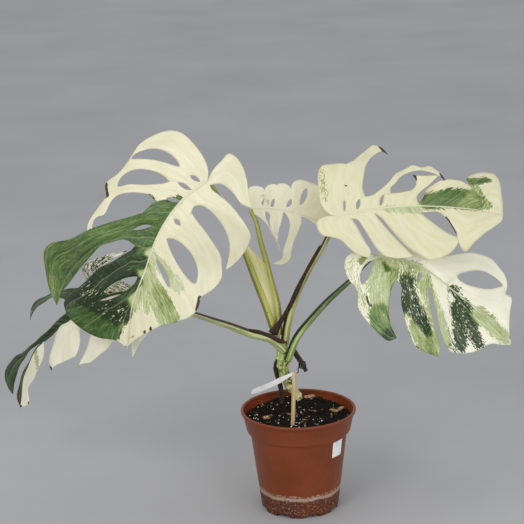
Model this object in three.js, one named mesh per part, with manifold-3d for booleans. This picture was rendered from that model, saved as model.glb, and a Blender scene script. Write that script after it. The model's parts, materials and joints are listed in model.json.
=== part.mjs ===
// Variegated monstera in a plastic nursery pot.
// Millimetres, +Z up. The origin is the middle of the pot's base, where it stands. The plant leans
// out along -X and +X, and most leaf faces look towards -Y. Plant sizes are given from the soil line.

import * as THREE from "three";
import { mergeVertices } from "three/addons/utils/BufferGeometryUtils.js";
import Module from "manifold-3d";

// Pot
const POT_HEIGHT = 117;
const RIM_RADIUS = 65; // outside of the rolled lip
const BASE_RADIUS = 43.5;
const WALL = 1.3;
const COLLAR_HEIGHT = 25; // lip down to the shoulder
const SHOULDER_STEP = 3.8; // how far the collar stands out from the wall
const FLOOR_RISE = 3.2; // underside of the floor above the standing surface
const FLOOR_DISC = 14; // radius of the flat middle that touches the surface
const FOOT_RING = 5.5; // width of the ring the pot stands on
const NOTCHES = 8;
const NOTCH_WIDTH = 16;
const NOTCH_TURN = 17; // degrees from +X to the middle of the first notch
const DRAIN_HOLES = 6;
const DRAIN_RADIUS = 3.5;

// Soil and what stands in it
const HEADSPACE = 10; // lip to soil
const CLEARANCE = 0.3; // gap between touching pieces
const MOUND = { x: 2, y: 36, spread: 18, height: 8 };
const STICK_RADIUS = 2.3;
const STICK_LENGTH = 112;
const STICK_SUNK = 50;
const TAG_WIDTH = 7;
const TAG_THICKNESS = 0.6;
const TIE = { radius: 3.9, wire: 0.6 };
const LABEL = { width: 17, height: 19, thickness: 0.3, angle: -38 };

// Leaves
const BLADE = 0.8; // thickness of a leaf blade
const RIB_RADIUS = 1.9; // midrib at the leaf's base
const RIB_END = 0.7; // and at its tip
const ACROSS = 2; // mesh strips across a lobe

const SOIL_Z = POT_HEIGHT - HEADSPACE;
const SHOULDER_Z = POT_HEIGHT - COLLAR_HEIGHT;
const COLLAR_FOOT = RIM_RADIUS - 6.4; // outside radius at the bottom of the collar
const SHOULDER_RADIUS = COLLAR_FOOT - SHOULDER_STEP;

const wasm = await Module();
wasm.setup();
const plant = new THREE.Group();

const COLOURS = {
  pot: [0x8a4a30, 0.45], soil: [0x1d1612, 0.95], wood: [0xb9966c, 0.7], tag: [0xf0efec, 0.4],
  cream: [0xe6e0c2, 0.5], green: [0x476a34, 0.45], petiole: [0x9aa05e, 0.5], pale: [0xb9b46c, 0.55],
  stem: [0x86935a, 0.6], dry: [0x4a2c1c, 0.85], root: [0x2b211b, 0.9], bark: [0x9a7550, 0.85],
};

// A named piece in one of the colours above.
function add(name, solid, colour) {
  const [color, roughness] = COLOURS[colour];
  const material = new THREE.MeshStandardMaterial({ color, roughness, metalness: 0 });
  const piece = new THREE.Mesh(geometryOf(solid), material);
  piece.name = name;
  plant.add(piece);
}

// ---- solids -------------------------------------------------------------------------------------

function solidOf(geometry) {
  const bare = geometry.clone();
  bare.deleteAttribute("normal");
  bare.deleteAttribute("uv");
  const merged = mergeVertices(bare, 1e-3);
  const triVerts = dropSlivers(merged.index.array);
  return new wasm.Manifold(
    new wasm.Mesh({ numProp: 3, vertProperties: merged.attributes.position.array, triVerts }),
  );
}

function dropSlivers(index) {
  const kept = [];
  for (let i = 0; i < index.length; i += 3) {
    const [a, b, c] = [index[i], index[i + 1], index[i + 2]];
    if (a !== b && b !== c && c !== a) kept.push(a, b, c);
  }
  return new Uint32Array(kept);
}

function geometryOf(solid) {
  const mesh = solid.getMesh();
  const geometry = new THREE.BufferGeometry();
  geometry.setAttribute("position", new THREE.BufferAttribute(mesh.vertProperties, 3));
  geometry.setIndex(new THREE.BufferAttribute(mesh.triVerts, 1));
  geometry.computeVertexNormals();
  return geometry;
}

function geometryFrom(points, triangles) {
  const geometry = new THREE.BufferGeometry().setFromPoints(points);
  geometry.setIndex(triangles);
  return geometry;
}

// The biggest body of a solid that a cut may have left in several.
function biggest(solid) {
  return solid.decompose().reduce((a, b) => (a.volume() > b.volume() ? a : b));
}

// A point of the plant, its height counted from the soil line.
const above = ([x, y, z]) => new THREE.Vector3(x, y, z + SOIL_Z);

const curveThrough = (points) => new THREE.CatmullRomCurve3(points, false, "centripetal");

// A round tapering stalk along a curve; `radii` are spread evenly along it.
function stalk(points, radii, { sides = 8, steps = 12, grow = 0 } = {}) {
  const curve = curveThrough(points);
  const frames = curve.computeFrenetFrames(steps);
  const rings = [];
  for (let i = 0; i <= steps; i++) {
    const at = (i / steps) * (radii.length - 1);
    const low = Math.min(Math.floor(at), radii.length - 2);
    const radius = radii[low] + (radii[low + 1] - radii[low]) * (at - low) + grow;
    const centre = curve.getPointAt(i / steps);
    for (let j = 0; j < sides; j++) {
      const turn = (2 * Math.PI * j) / sides;
      rings.push(
        centre
          .clone()
          .addScaledVector(frames.normals[i], radius * Math.cos(turn))
          .addScaledVector(frames.binormals[i], radius * Math.sin(turn)),
      );
    }
  }
  const triangles = [];
  for (let i = 0; i < steps; i++)
    for (let j = 0; j < sides; j++) {
      const [a, b] = [i * sides + j, i * sides + ((j + 1) % sides)];
      triangles.push(a, b, a + sides, b, b + sides, a + sides);
    }
  const last = steps * sides;
  for (let j = 1; j < sides - 1; j++) {
    triangles.push(0, j + 1, j);
    triangles.push(last, last + j, last + j + 1);
  }
  return solidOf(geometryFrom(rings, triangles));
}

// Gives an open sheet its thickness: a top, a bottom and a wall round every free edge.
function thicken(points, triangles, thickness) {
  const normals = points.map(() => new THREE.Vector3());
  const edges = new Map();
  for (const [a, b, c] of triangles) {
    const ab = points[b].clone().sub(points[a]);
    const ac = points[c].clone().sub(points[a]);
    const normal = ab.cross(ac);
    for (const v of [a, b, c]) normals[v].add(normal);
    for (const [from, to] of [[a, b], [b, c], [c, a]]) {
      if (edges.has(`${to},${from}`)) edges.delete(`${to},${from}`);
      else edges.set(`${from},${to}`, [from, to]);
    }
  }
  const count = points.length;
  const shell = [];
  for (const side of [0.5, -0.5])
    points.forEach((p, i) => {
      shell.push(p.clone().addScaledVector(normals[i].clone().normalize(), side * thickness));
    });
  const faces = [];
  for (const [a, b, c] of triangles) {
    faces.push(a, b, c);
    faces.push(a + count, c + count, b + count);
  }
  for (const [from, to] of edges.values()) {
    faces.push(from, from + count, to);
    faces.push(to, from + count, to + count);
  }
  return solidOf(geometryFrom(shell, faces));
}

// A thin sheet between two edges that run the same way.
function membrane(edgeA, edgeB, thickness, { rows = 12, across = 3, bulge = [0, 0, 0] } = {}) {
  const [a, b] = [curveThrough(edgeA), curveThrough(edgeB)];
  const out = new THREE.Vector3(...bulge);
  const points = [];
  for (let i = 0; i <= rows; i++)
    for (let j = 0; j <= across; j++) {
      const share = j / across;
      const point = a.getPointAt(i / rows).lerp(b.getPointAt(i / rows), share);
      points.push(point.addScaledVector(out, Math.sin(Math.PI * share)));
    }
  const triangles = [];
  for (let i = 0; i < rows; i++)
    for (let j = 0; j < across; j++) {
      const at = i * (across + 1) + j;
      triangles.push([at, at + 1, at + across + 1], [at + 1, at + across + 2, at + across + 1]);
    }
  return thicken(points, triangles, thickness);
}

// ---- leaves -------------------------------------------------------------------------------------
// A leaf is drawn flat, as its face is seen, in mm from where it joins its stalk: x to the right,
// y up. From the midrib out, gaps part the lobes. A gap has a path from the midrib to where the two
// lobes come apart, the mesh rows along it, and its holes: [from point, to point, half width].
// A lobe lies between two gaps. Past them, it has its own edge on either side, or ends there.

const gap = (rows, path, holes = []) => ({ rows, path, holes });
const lobe = (name, rows, before, after, bow = 0) => ({ name, rows, before, after, bow });

const flat = ([x, y]) => new THREE.Vector3(x, y, 0);

// Points along a gap's path, each with the half width of the hole it lies in.
function alongGap({ rows, path, holes }) {
  const curve = curveThrough(path.map(flat));
  const share = (i) => shareAt(curve, i / (path.length - 1));
  const stops = [0, ...holes.flatMap(([from, to]) => [share(from), share(to)]), 1];
  const parts = [];
  for (let i = 0; i + 1 < stops.length; i++) {
    const hole = i % 2 === 1;
    if (stops[i + 1] - stops[i] > 1e-6)
      parts.push({ from: stops[i], to: stops[i + 1], half: hole ? holes[(i - 1) / 2][2] : 0,
        rows: hole ? 2 : 1 });
  }
  for (let spare = rows - parts.reduce((sum, p) => sum + p.rows, 0); spare > 0; spare--) {
    const widest = parts.reduce((a, b) => ((a.to - a.from) / a.rows >= (b.to - b.from) / b.rows ? a : b));
    widest.rows += 1;
  }
  const points = [{ at: curve.getPointAt(0), half: 0, along: curve.getTangentAt(0) }];
  for (const part of parts)
    for (let i = 1; i <= part.rows; i++) {
      const u = Math.min(1, part.from + ((part.to - part.from) * i) / part.rows);
      const half = i === part.rows ? 0 : part.half * Math.sin((Math.PI * i) / part.rows) ** 0.6;
      points.push({ at: curve.getPointAt(u), half, along: curve.getTangentAt(u) });
    }
  return points;
}

// The arc length share of a curve's own parameter t.
function shareAt(curve, t) {
  const lengths = curve.getLengths(200);
  return lengths[Math.round(t * 200)] / lengths[200];
}

function alongEdge(start, points, rows) {
  if (!points.length || rows < 1) return Array(Math.max(rows, 0)).fill(start);
  return curveThrough([start, ...points.map(flat)]).getSpacedPoints(rows).slice(1);
}

// One half of a leaf, as an open sheet of flat points.
function halfLeaf(pieces, midrib, hand) {
  const spine = curveThrough(midrib.map(flat));
  const spinePoints = spine.getSpacedPoints(200);
  const spineShare = (p) => {
    const d = spinePoints.map((q) => q.distanceTo(p));
    return d.indexOf(Math.min(...d)) / 200;
  };
  const points = [];
  const triangles = [];
  const known = new Map();
  const vertex = (p) => {
    const key = `${Math.round(p.x * 50)},${Math.round(p.y * 50)}`;
    if (!known.has(key)) {
      known.set(key, points.length);
      points.push(p);
    }
    return known.get(key);
  };
  const sampled = new Map(pieces.filter((p) => p.path).map((g) => [g, alongGap(g)]));
  const edgeOf = (g, side, outer, rows) => {
    const inner = sampled.get(g).map(({ at, half, along }) =>
      at.clone().add(new THREE.Vector3(-along.y, along.x, 0).multiplyScalar(side * hand * half)));
    return [...inner, ...alongEdge(inner.at(-1), outer, rows - g.rows)];
  };
  for (let i = 1; i < pieces.length; i += 2) {
    const part = pieces[i];
    const [before, after] = [pieces[i - 1], pieces[i + 1]];
    const near = edgeOf(before, -1, part.before, part.rows);
    const from = spineShare(near[0]);
    const ribEdge = () => {
      const rest = Array.from({ length: part.rows + 1 }, (_, r) =>
        spine.getPointAt(from + ((1 - from) * r) / part.rows));
      return [near[0], ...rest.slice(1)];
    };
    const far = after ? edgeOf(after, 1, part.after, part.rows) : ribEdge();
    const to = after ? spineShare(far[0]) : from;
    const across = ACROSS;
    const grid = [];
    for (let r = 0; r <= part.rows; r++) {
      const side = far[r].clone().sub(near[r]);
      const bow = new THREE.Vector3(-side.y, side.x, 0).normalize().multiplyScalar(hand * part.bow);
      const row = [];
      for (let c = 0; c <= across; c++) {
        const share = c / across;
        const p = near[r].clone().lerp(far[r], share);
        const root = spine.getPointAt(from + (to - from) * share);
        const shift = root.sub(near[0].clone().lerp(far[0], share));
        if (after) p.addScaledVector(shift, (1 - r / part.rows) ** 3);
        p.addScaledVector(bow, 4 * share * (1 - share) * (r / part.rows) ** 4);
        if (c === 0) p.copy(near[r]);
        if (c === across) p.copy(far[r]);
        row.push(vertex(p));
      }
      grid.push(row);
    }
    for (let r = 0; r < part.rows; r++)
      for (let c = 0; c < across; c++) {
        const [a, b, d, e] = [grid[r][c], grid[r][c + 1], grid[r + 1][c], grid[r + 1][c + 1]];
        for (const t of [[a, b, d], [b, e, d]])
          if (new Set(t).size === 3) triangles.push(hand > 0 ? [t[0], t[1], t[2]] : [t[0], t[2], t[1]]);
      }
  }
  return { points, triangles };
}

// Where a flat leaf point lies on the finished leaf: the blade rises from the midrib and arches
// over, the leaf nods towards its tip, and swells raise or sink it round a point.
function bender({ at, turn, tilt, rise, arch, nod, swells, midrib }) {
  const [yaw, up] = [THREE.MathUtils.degToRad(turn), THREE.MathUtils.degToRad(tilt)];
  const facing = new THREE.Vector3(
    Math.sin(yaw) * Math.cos(up), -Math.cos(yaw) * Math.cos(up), Math.sin(up));
  const right = new THREE.Vector3(Math.cos(yaw), Math.sin(yaw), 0);
  const upward = facing.clone().cross(right);
  const spine = midrib.map(flat);
  const chord = spine.at(-1).clone().normalize();
  const line = new THREE.Line3();
  return (p, proud = 0) => {
    let reach = Infinity;
    for (let i = 0; i + 1 < spine.length; i++) {
      line.set(spine[i], spine[i + 1]);
      reach = Math.min(reach, line.closestPointToPoint(p, true, new THREE.Vector3()).distanceTo(p));
    }
    const along = p.dot(chord);
    let lift = rise * reach - reach ** 2 / (2 * arch) - (along * Math.abs(along)) / (2 * nod) + proud;
    for (const [x, y, wide, high] of swells) {
      const near = ((p.x - x) ** 2 + (p.y - y) ** 2) / wide ** 2;
      if (near < 1) lift += high * (1 - near) ** 2;
    }
    return above(at).addScaledVector(right, p.x).addScaledVector(upward, p.y)
      .addScaledVector(facing, lift);
  };
}

// The whole leaf: two halves and the midrib that joins them; `grow` swells it for a clearance cut.
function leafSolid(shape, grow = 0) {
  const bend = bender(shape);
  const rib = curveThrough(shape.midrib.map(flat)).getSpacedPoints(12).map((p) => bend(p, -0.4));
  let solid = stalk(rib, [RIB_RADIUS, RIB_END], { sides: 6, steps: 14, grow });
  for (const [pieces, side] of [[shape.sideA, 1], [shape.sideB, -1]]) {
    const { points, triangles } = halfLeaf(pieces, shape.midrib, shape.hand * side);
    solid = solid.add(thicken(points.map((p) => bend(p)), triangles, BLADE + 2 * grow));
  }
  return biggest(solid);
}

const leaves = {};
const leaf = (name, shape) => {
  leaves[name] = shape;
};

leaf("leaf_1", {
  at: [-92, -38, 284], turn: -8, tilt: 22, rise: 0.1, arch: 190, nod: 600,
  swells: [[-118, -65, 45, 16], [-190, -95, 70, -24], [-125, -115, 50, 10], [22, -85, 60, -14],
    [5, -112, 50, -8], [44, -10, 40, -8]],
  midrib: [[0, 0], [-19, -14], [-34, -29], [-47, -48], [-58, -70], [-66, -93], [-73, -110],
    [-81, -130], [-85, -151], [-89, -179]],
  hand: -1,
  sideA: [
    gap(10, [[0, 0], [0, 12], [-6, 26], [-16, 39], [-31, 52], [-46, 55], [-64, 49], [-77, 41],
      [-86, 26], [-100, 8], [-114, -2], [-112, -17]]),
    lobe("crown", 10, [], []),
    gap(10, [[-5, -4], [-9, -1], [-19, 5], [-31, 15], [-47, 25], [-65, 29], [-86, 24], [-100, 5],
      [-109, -6], [-112, -17]], [[1, 2, 2.5], [3, 6, 6.2]]),
    lobe("crown_under", 10, [], []),
    gap(10, [[-13, -10], [-18, -10], [-32, -3], [-43, -1], [-63, 3], [-86, 3], [-100, -6],
      [-112, -17]], [[1, 2, 2.5], [3, 6, 8.5]]),
    lobe("curled", 14, [[-120, -27], [-128, -41], [-131, -52], [-127, -60], [-119, -68]], [[-63, -16],
      [-70, -14], [-85, -13], [-100, -16], [-107, -23], [-113, -37], [-122, -40], [-125, -49],
      [-122, -60], [-119, -68]]),
    gap(4, [[-25, -21], [-30, -22], [-44, -20], [-51, -21], [-56, -23]], [[1, 2, 2.5]]),
    lobe("green_upper", 14, [[-55, -29], [-73, -36], [-90, -41], [-123, -52], [-153, -60], [-185, -63],
      [-194, -71], [-193, -89], [-186, -113], [-174, -131]], []),
    gap(14, [[-49, -52], [-60, -49], [-80, -53], [-104, -65], [-135, -77], [-167, -94], [-174, -131]],
      [[1, 2, 2.3]]),
    lobe("green_lower", 14, [], [[-88, -64], [-101, -67], [-115, -73], [-129, -85], [-147, -97],
      [-157, -107], [-167, -115], [-174, -131]]),
    gap(3, [[-60, -74], [-70, -72], [-78, -70]]),
    lobe("bowl_upper", 12, [[-82, -75], [-89, -79], [-102, -88], [-115, -94], [-130, -106],
      [-144, -115], [-159, -122], [-164, -129], [-161, -138]], []),
    gap(12, [[-66, -93], [-76, -103], [-94, -114], [-117, -128], [-135, -136], [-161, -138]],
      [[1, 3, 6.8]]),
    lobe("bowl_lower", 12, [], [], 6),
    gap(12, [[-73, -110], [-86, -132], [-103, -154], [-112, -169]]),
    lobe("tip_left", 14, [[-102, -170], [-94, -174], [-89, -179]], []),
  ],
  sideB: [
    gap(10, [[0, 0], [6, 12], [14, 21], [22, 29], [31, 24], [37, 15], [41, 2], [43, -14], [46, -28]]),
    lobe("ear", 10, [], [[15, -4], [27, -13], [36, -24], [46, -28]]),
    gap(1, [[-2, -2], [2, -5]]),
    lobe("right_outer", 13, [[5, -10], [13, -16], [24, -25], [35, -38], [43, -50], [46, -58],
      [42, -68], [34, -79], [25, -87], [17, -92]], [[-7, -27], [4, -33], [12, -42], [19, -53],
      [22, -63], [22, -73], [17, -92]]),
    gap(3, [[-21, -17], [-19, -23], [-14, -28]]),
    lobe("right_middle", 13, [[-17, -33], [-12, -42], [-3, -53], [5, -65], [12, -77], [13, -88],
      [13, -100], [8, -109], [-1, -118]], []),
    gap(13, [[-38, -36], [-35, -42], [-29, -48], [-10, -70], [2, -93], [-1, -118]], [[1, 2, 2.5]]),
    lobe("right_inner", 13, [], []),
    gap(13, [[-53, -61], [-43, -63], [-32, -73], [-22, -88], [-14, -109], [-9, -124]], [[1, 4, 9]]),
    lobe("right_lower", 13, [], [], 6),
    gap(13, [[-60, -75], [-55, -84], [-47, -98], [-40, -115], [-32, -132], [-27, -148]], [[1, 3, 2.6]]),
    lobe("right_low", 13, [], [], 1),
    gap(13, [[-71, -106], [-62, -122], [-54, -139], [-47, -153]]),
    lobe("tip_right", 14, [[-62, -159], [-74, -165], [-83, -170], [-89, -179]], []),
  ],
});

leaf("leaf_2", {
  at: [-173, 5, 150], turn: -25, tilt: 38, rise: 0.05, arch: 150, nod: 260,
  swells: [[-200, -95, 80, -22], [-165, -20, 50, -14], [-150, -120, 60, -12], [-110, -85, 45, -8],
    [-70, -82, 40, -6], [-40, 45, 40, -8]],
  midrib: [[0, 0], [-27, -5], [-51, -14], [-84, -35], [-108, -50], [-130, -62], [-153, -78],
    [-172, -93], [-174, -122]],
  hand: -1,
  sideA: [
    gap(12, [[0, 0], [-18, 8], [-41, 17], [-55, 27], [-54, 38], [-46, 46], [-40, 53]]),
    lobe("back_curl", 12, [], [[-79, 14], [-88, 25], [-82, 32], [-69, 40], [-53, 48], [-40, 53]]),
    gap(4, [[-34, -8], [-51, -2], [-69, 5]]),
    lobe("thin", 14, [[-85, 0], [-103, -1], [-115, -4], [-136, -4], [-158, -4], [-171, -11],
      [-169, -27]], [[-99, -14], [-117, -10], [-139, -10], [-157, -13], [-166, -18], [-169, -27]]),
    gap(3, [[-68, -25], [-81, -22]]),
    lobe("dark", 14, [[-93, -37], [-108, -44], [-128, -55], [-156, -64], [-192, -68], [-209, -75],
      [-214, -84], [-206, -96], [-193, -106]], [[-142, -65], [-164, -72], [-180, -80], [-190, -91],
      [-193, -106]]),
    gap(2, [[-123, -58], [-130, -61]]),
    lobe("tip_left", 14, [[-145, -73], [-166, -82], [-179, -94], [-184, -108], [-174, -122]], []),
  ],
  sideB: [
    gap(12, [[0, 0], [15, -9], [27, -21], [24, -36], [18, -49], [10, -61], [4, -72]]),
    lobe("tan", 12, [], [[1, -55], [4, -72]]),
    gap(8, [[-15, -3], [-7, -21], [-4, -40]]),
    lobe("cream_wide", 14, [[-13, -50], [-22, -58], [-31, -68], [-49, -80], [-61, -82], [-68, -84]],
      [[-51, -50], [-56, -64], [-63, -75], [-68, -84]]),
    gap(6, [[-41, -12], [-41, -32]]),
    lobe("cream", 14, [[-56, -40], [-69, -47], [-68, -59], [-71, -71], [-75, -76]], [[-97, -46],
      [-106, -51], [-110, -64], [-115, -76], [-116, -83], [-112, -89]], -1),
    gap(2, [[-79, -31], [-83, -38]]),
    lobe("tip_right", 14, [[-106, -51], [-119, -55], [-125, -61], [-124, -69], [-128, -79],
      [-136, -87], [-145, -95], [-160, -105], [-154, -120], [-174, -122]], []),
  ],
});

leaf("leaf_3", {
  at: [-49, 30, 236], turn: 6, tilt: 30, rise: 0.1, arch: 60, nod: 400,
  swells: [[30, -52, 40, -8]],
  midrib: [[0, 0], [14, -1], [29, -2], [42, -5], [57, -9], [70, -14], [85, -19], [99, -26]],
  hand: 1,
  sideA: [
    gap(8, [[0, 0], [-5, 3], [-6, 10], [-2, 19], [2, 24]]),
    lobe("roll_1", 8, [], [], 4),
    gap(8, [[17, -1], [15, 2], [16, 8], [18, 15], [19, 20]], [[1, 2, 1.1]]),
    lobe("roll_2a", 8, [], [], 4),
    gap(8, [[22, -2], [24, -1], [28, 9], [31, 18], [33, 26]], [[1, 2, 1.9]]),
    lobe("roll_2b", 8, [], [], 5),
    gap(8, [[37, -4], [42, -1], [48, 8], [50, 14], [49, 21]], [[1, 2, 2.3]]),
    lobe("roll_3", 8, [], [], 7),
    gap(8, [[55, -8], [58, 1], [64, 14], [67, 22], [70, 31]], [[1, 3, 3]]),
    lobe("tip_back", 12, [[82, 27], [90, 13], [97, -4], [99, -26]], []),
  ],
  sideB: [
    gap(10, [[0, 0], [3, -6], [10, -11], [17, -18], [23, -28], [30, -38], [34, -47]]),
    lobe("thread", 10, [], [[17, -10], [20, -20], [26, -32], [34, -47]]),
    gap(1, [[19, -2], [18, -4]]),
    lobe("dagger", 10, [[22, -9], [21, -17], [23, -27], [30, -37]], [[37, -10], [35, -17], [31, -27],
      [30, -37]]),
    gap(1, [[36, -4], [38, -6]]),
    lobe("long", 14, [[41, -10], [44, -18], [43, -27], [40, -36], [36, -45], [35, -53], [24, -58]],
      [[58, -18], [53, -29], [48, -38], [45, -48], [43, -56], [37, -59], [24, -58]]),
    gap(1, [[57, -9], [58, -12]]),
    lobe("tip_front", 12, [[65, -15], [76, -23], [87, -28], [99, -26]], []),
  ],
});

leaf("leaf_4", {
  at: [43, -12, 234], turn: 10, tilt: 44, rise: 0.12, arch: 150, nod: 900,
  swells: [[75, 100, 60, -10], [30, -50, 40, -10], [75, -45, 50, -12], [130, -40, 40, -8],
    [140, 35, 45, 10]],
  midrib: [[0, 0], [17, 3], [36, 5], [52, 7], [80, 9], [101, 9], [122, 7], [141, 5], [169, 4],
    [196, -2]],
  hand: 1,
  sideA: [
    gap(10, [[0, 0], [-9, 8], [-13, 21], [-11, 41], [-7, 61], [-1, 70]]),
    lobe("shield", 10, [], [], 2),
    gap(10, [[8, 1], [12, 5], [15, 20], [21, 46], [26, 69]], [[1, 2, 1.2]]),
    lobe("horn", 15, [[36, 76], [49, 89], [61, 102], [69, 108], [77, 103], [81, 90]], [[38, 34],
      [43, 52], [50, 69], [62, 86], [75, 96], [81, 90]]),
    gap(4, [[26, 4], [27, 7], [32, 19], [39, 22]], [[1, 2, 2]]),
    lobe("arch", 15, [[48, 24], [61, 33], [71, 42], [81, 53], [93, 60], [104, 65], [111, 60],
      [121, 62], [126, 54], [130, 46], [133, 36]], [[70, 33], [76, 38], [82, 45], [89, 51], [99, 55],
      [110, 55], [120, 50], [126, 45], [133, 36]]),
    gap(4, [[52, 7], [54, 10], [60, 23], [69, 25]], [[1, 2, 1.8]]),
    lobe("fishtail", 12, [[80, 26], [90, 27], [99, 34], [101, 43], [99, 50]], [[98, 20], [104, 27],
      [115, 34], [127, 44]], -2),
    gap(2, [[97, 9], [99, 12]]),
    lobe("fold", 10, [[105, 19], [110, 28], [119, 32]], [], 7),
    gap(10, [[169, 4], [172, 10], [171, 18], [166, 26]]),
    lobe("tip_back", 14, [[162, 34], [159, 40], [174, 53], [188, 57], [199, 57], [203, 47], [201, 32],
      [199, 15], [196, -2]], []),
  ],
  sideB: [
    gap(12, [[0, 0], [-9, 1], [-19, -4], [-21, -14], [-16, -23], [-7, -26], [3, -30], [11, -37],
      [21, -43], [33, -46]]),
    lobe("near_lobe", 12, [], [[24, -17], [30, -30], [36, -40], [33, -46]]),
    gap(1, [[17, 2], [19, -4]]),
    lobe("slab_1", 12, [[25, -6], [30, -16], [36, -27], [44, -38], [51, -44]], [[49, -7], [58, -19],
      [69, -30], [78, -39], [84, -46]], 3),
    gap(1, [[44, 6], [46, 1]]),
    lobe("slab_2", 12, [[52, -5], [61, -17], [71, -28], [80, -37], [89, -44], [100, -52]], [[104, -6],
      [114, -15], [126, -23], [139, -29]], 8),
    gap(1, [[97, 9], [99, 0]]),
    lobe("tip_front", 15, [[109, 1], [120, 0], [127, -7], [132, -16], [137, -27], [138, -36],
      [143, -45], [156, -35], [169, -26], [181, -18], [192, -10], [196, -2]], []),
  ],
});

leaf("leaf_5", {
  at: [87, -2, 186], turn: 20, tilt: 34, rise: 0.08, arch: 150, nod: 700,
  swells: [[8, -90, 45, 4], [50, -115, 60, -10], [95, -110, 60, -8], [155, -45, 50, -8]],
  midrib: [[0, 0], [18, -5], [38, -10], [51, -17], [70, -34], [82, -46], [97, -60], [118, -76],
    [136, -92], [148, -116]],
  hand: 1,
  sideA: [
    gap(12, [[0, 0], [27, 5], [50, 0], [68, -9], [83, -10], [101, -8], [124, -7], [140, -9],
      [152, -14], [160, -24], [166, -35], [165, -46], [158, -56]]),
    lobe("loop", 12, [], []),
    gap(12, [[78, -43], [94, -36], [111, -38], [138, -40], [158, -46], [158, -56]], [[1, 4, 10.7]]),
    lobe("tip_back", 16, [[165, -61], [160, -71], [152, -86], [148, -100], [148, -116]], []),
  ],
  sideB: [
    gap(13, [[0, 0], [-13, 5], [-26, 6], [-34, 0], [-37, -10], [-35, -23], [-29, -33], [-29, -45],
      [-30, -54], [-24, -66], [-16, -77], [-8, -87], [0, -93], [10, -92]]),
    lobe("base", 13, [], []),
    gap(13, [[6, -2], [-3, -6], [-14, -17], [-21, -31], [-20, -53], [-8, -76], [10, -92]],
      [[1, 3, 5.1]]),
    lobe("olive", 13, [], [[11, -41], [7, -51], [4, -64], [4, -78], [10, -92]]),
    gap(4, [[21, -6], [21, -19], [18, -31]]),
    lobe("dark_left", 14, [[24, -38], [20, -55], [21, -72], [25, -89], [31, -100], [39, -106],
      [50, -112], [60, -116]], []),
    gap(14, [[44, -13], [51, -25], [45, -36], [42, -66], [53, -96], [60, -116]], [[1, 2, 1.8]]),
    lobe("dark_right", 14, [], [[54, -48], [53, -59], [55, -74], [59, -89], [63, -104], [60, -116]]),
    gap(3, [[60, -25], [59, -35], [58, -43]]),
    lobe("patched", 12, [[59, -49], [59, -63], [62, -81], [66, -96], [74, -111]], [], 6),
    gap(12, [[83, -47], [86, -66], [95, -87], [106, -105], [116, -113]]),
    lobe("tip_front", 14, [[124, -112], [135, -115], [148, -116]], []),
  ],
});
const LEAF_COLOURS = { leaf_1: "cream", leaf_2: "green", leaf_3: "cream", leaf_4: "cream", leaf_5: "green" };

// ---- stem, stalks and sheaths -------------------------------------------------------------------
// Points run upwards, in mm from the soil line; radii are spread along them.

const STEM = { path: [[5, 38, -60], [5, 38, -1], [-2, 33, 14], [-9, 28, 27], [-15, 22, 45], [-16, 17, 64],
  [-16, 14, 82]], radii: [5, 5.2, 5, 5.2, 5.6, 7.5, 5] };
const STALKS = {
  petiole_1: { path: [[-24, 12, 94], [-33, 10, 125], [-43, 8, 155], [-53, 6, 185], [-64, 2, 216],
    [-78, -12, 252], [-88, -26, 273], [-92, -35, 282]], radii: [4.6, 4.2, 3.4, 2.8] },
  petiole_2: { path: [[-14, 12, 74], [-29, 7, 90], [-51, 5, 97], [-73, 3, 107], [-114, 2, 123],
    [-146, 4, 136], [-171, 6, 149]], radii: [5, 4.4, 3.4, 2.6, 2.4] },
  petiole_3: { path: [[-20, 17, 92], [-21, 18, 125], [-27, 18, 153], [-33, 20, 181], [-38, 22, 201],
    [-42, 26, 221], [-48, 29, 234]], radii: [4.6, 4, 3.2, 2.4] },
  petiole_4: { path: [[-14, 13, 82], [-9, 11, 110], [0, 8, 139], [16, 3, 172], [30, -2, 196],
    [38, -6, 214], [43, -9, 231]], radii: [5, 4.4, 3.2, 2.6] },
  petiole_5: { path: [[-11, 8, 64], [-1, 3, 92], [16, 0, 118], [33, -1, 139], [49, 0, 152], [63, 2, 162],
    [76, 3, 174], [87, 1, 184]], radii: [4.6, 4.4, 3.6, 2.8, 2.4] },
};
const ROOTS = {
  aerial_root_left: { path: [[-20, 22, 63], [-24, 26, 50], [-22, 28, 37], [-19, 31, 23], [-17, 34, -12]],
    radii: [3, 2.8, 2.6] },
  aerial_root_right: { path: [[-4, 18, 73], [1, 18, 64], [6, 18, 56], [10, 18, 47]], radii: [3, 3, 2.6] },
};
const stalkOf = ({ path, radii }, grow = 0) => stalk(path.map(above), radii, { grow });

const cutAway = (solid, ...others) => biggest(others.reduce((left, other) => left.subtract(other), solid));

add("stem", stalkOf(STEM), "stem");
const made = [stalkOf(STEM, CLEARANCE)];

// Each stalk is cut back from what was grown before it and from every leaf.
const leafCuts = Object.values(leaves).map((shape) => leafSolid(shape, CLEARANCE));
for (const [name, shape] of Object.entries(STALKS)) {
  add(name, cutAway(stalkOf(shape), ...made, ...leafCuts), "petiole");
  made.push(stalkOf(shape, CLEARANCE));
}
for (const [name, shape] of Object.entries(ROOTS)) {
  add(name, cutAway(stalkOf(shape), ...made), "root");
  made.push(stalkOf(shape, CLEARANCE));
}
for (const [name, shape] of Object.entries(leaves)) add(name, leafSolid(shape), LEAF_COLOURS[name]);

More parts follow.
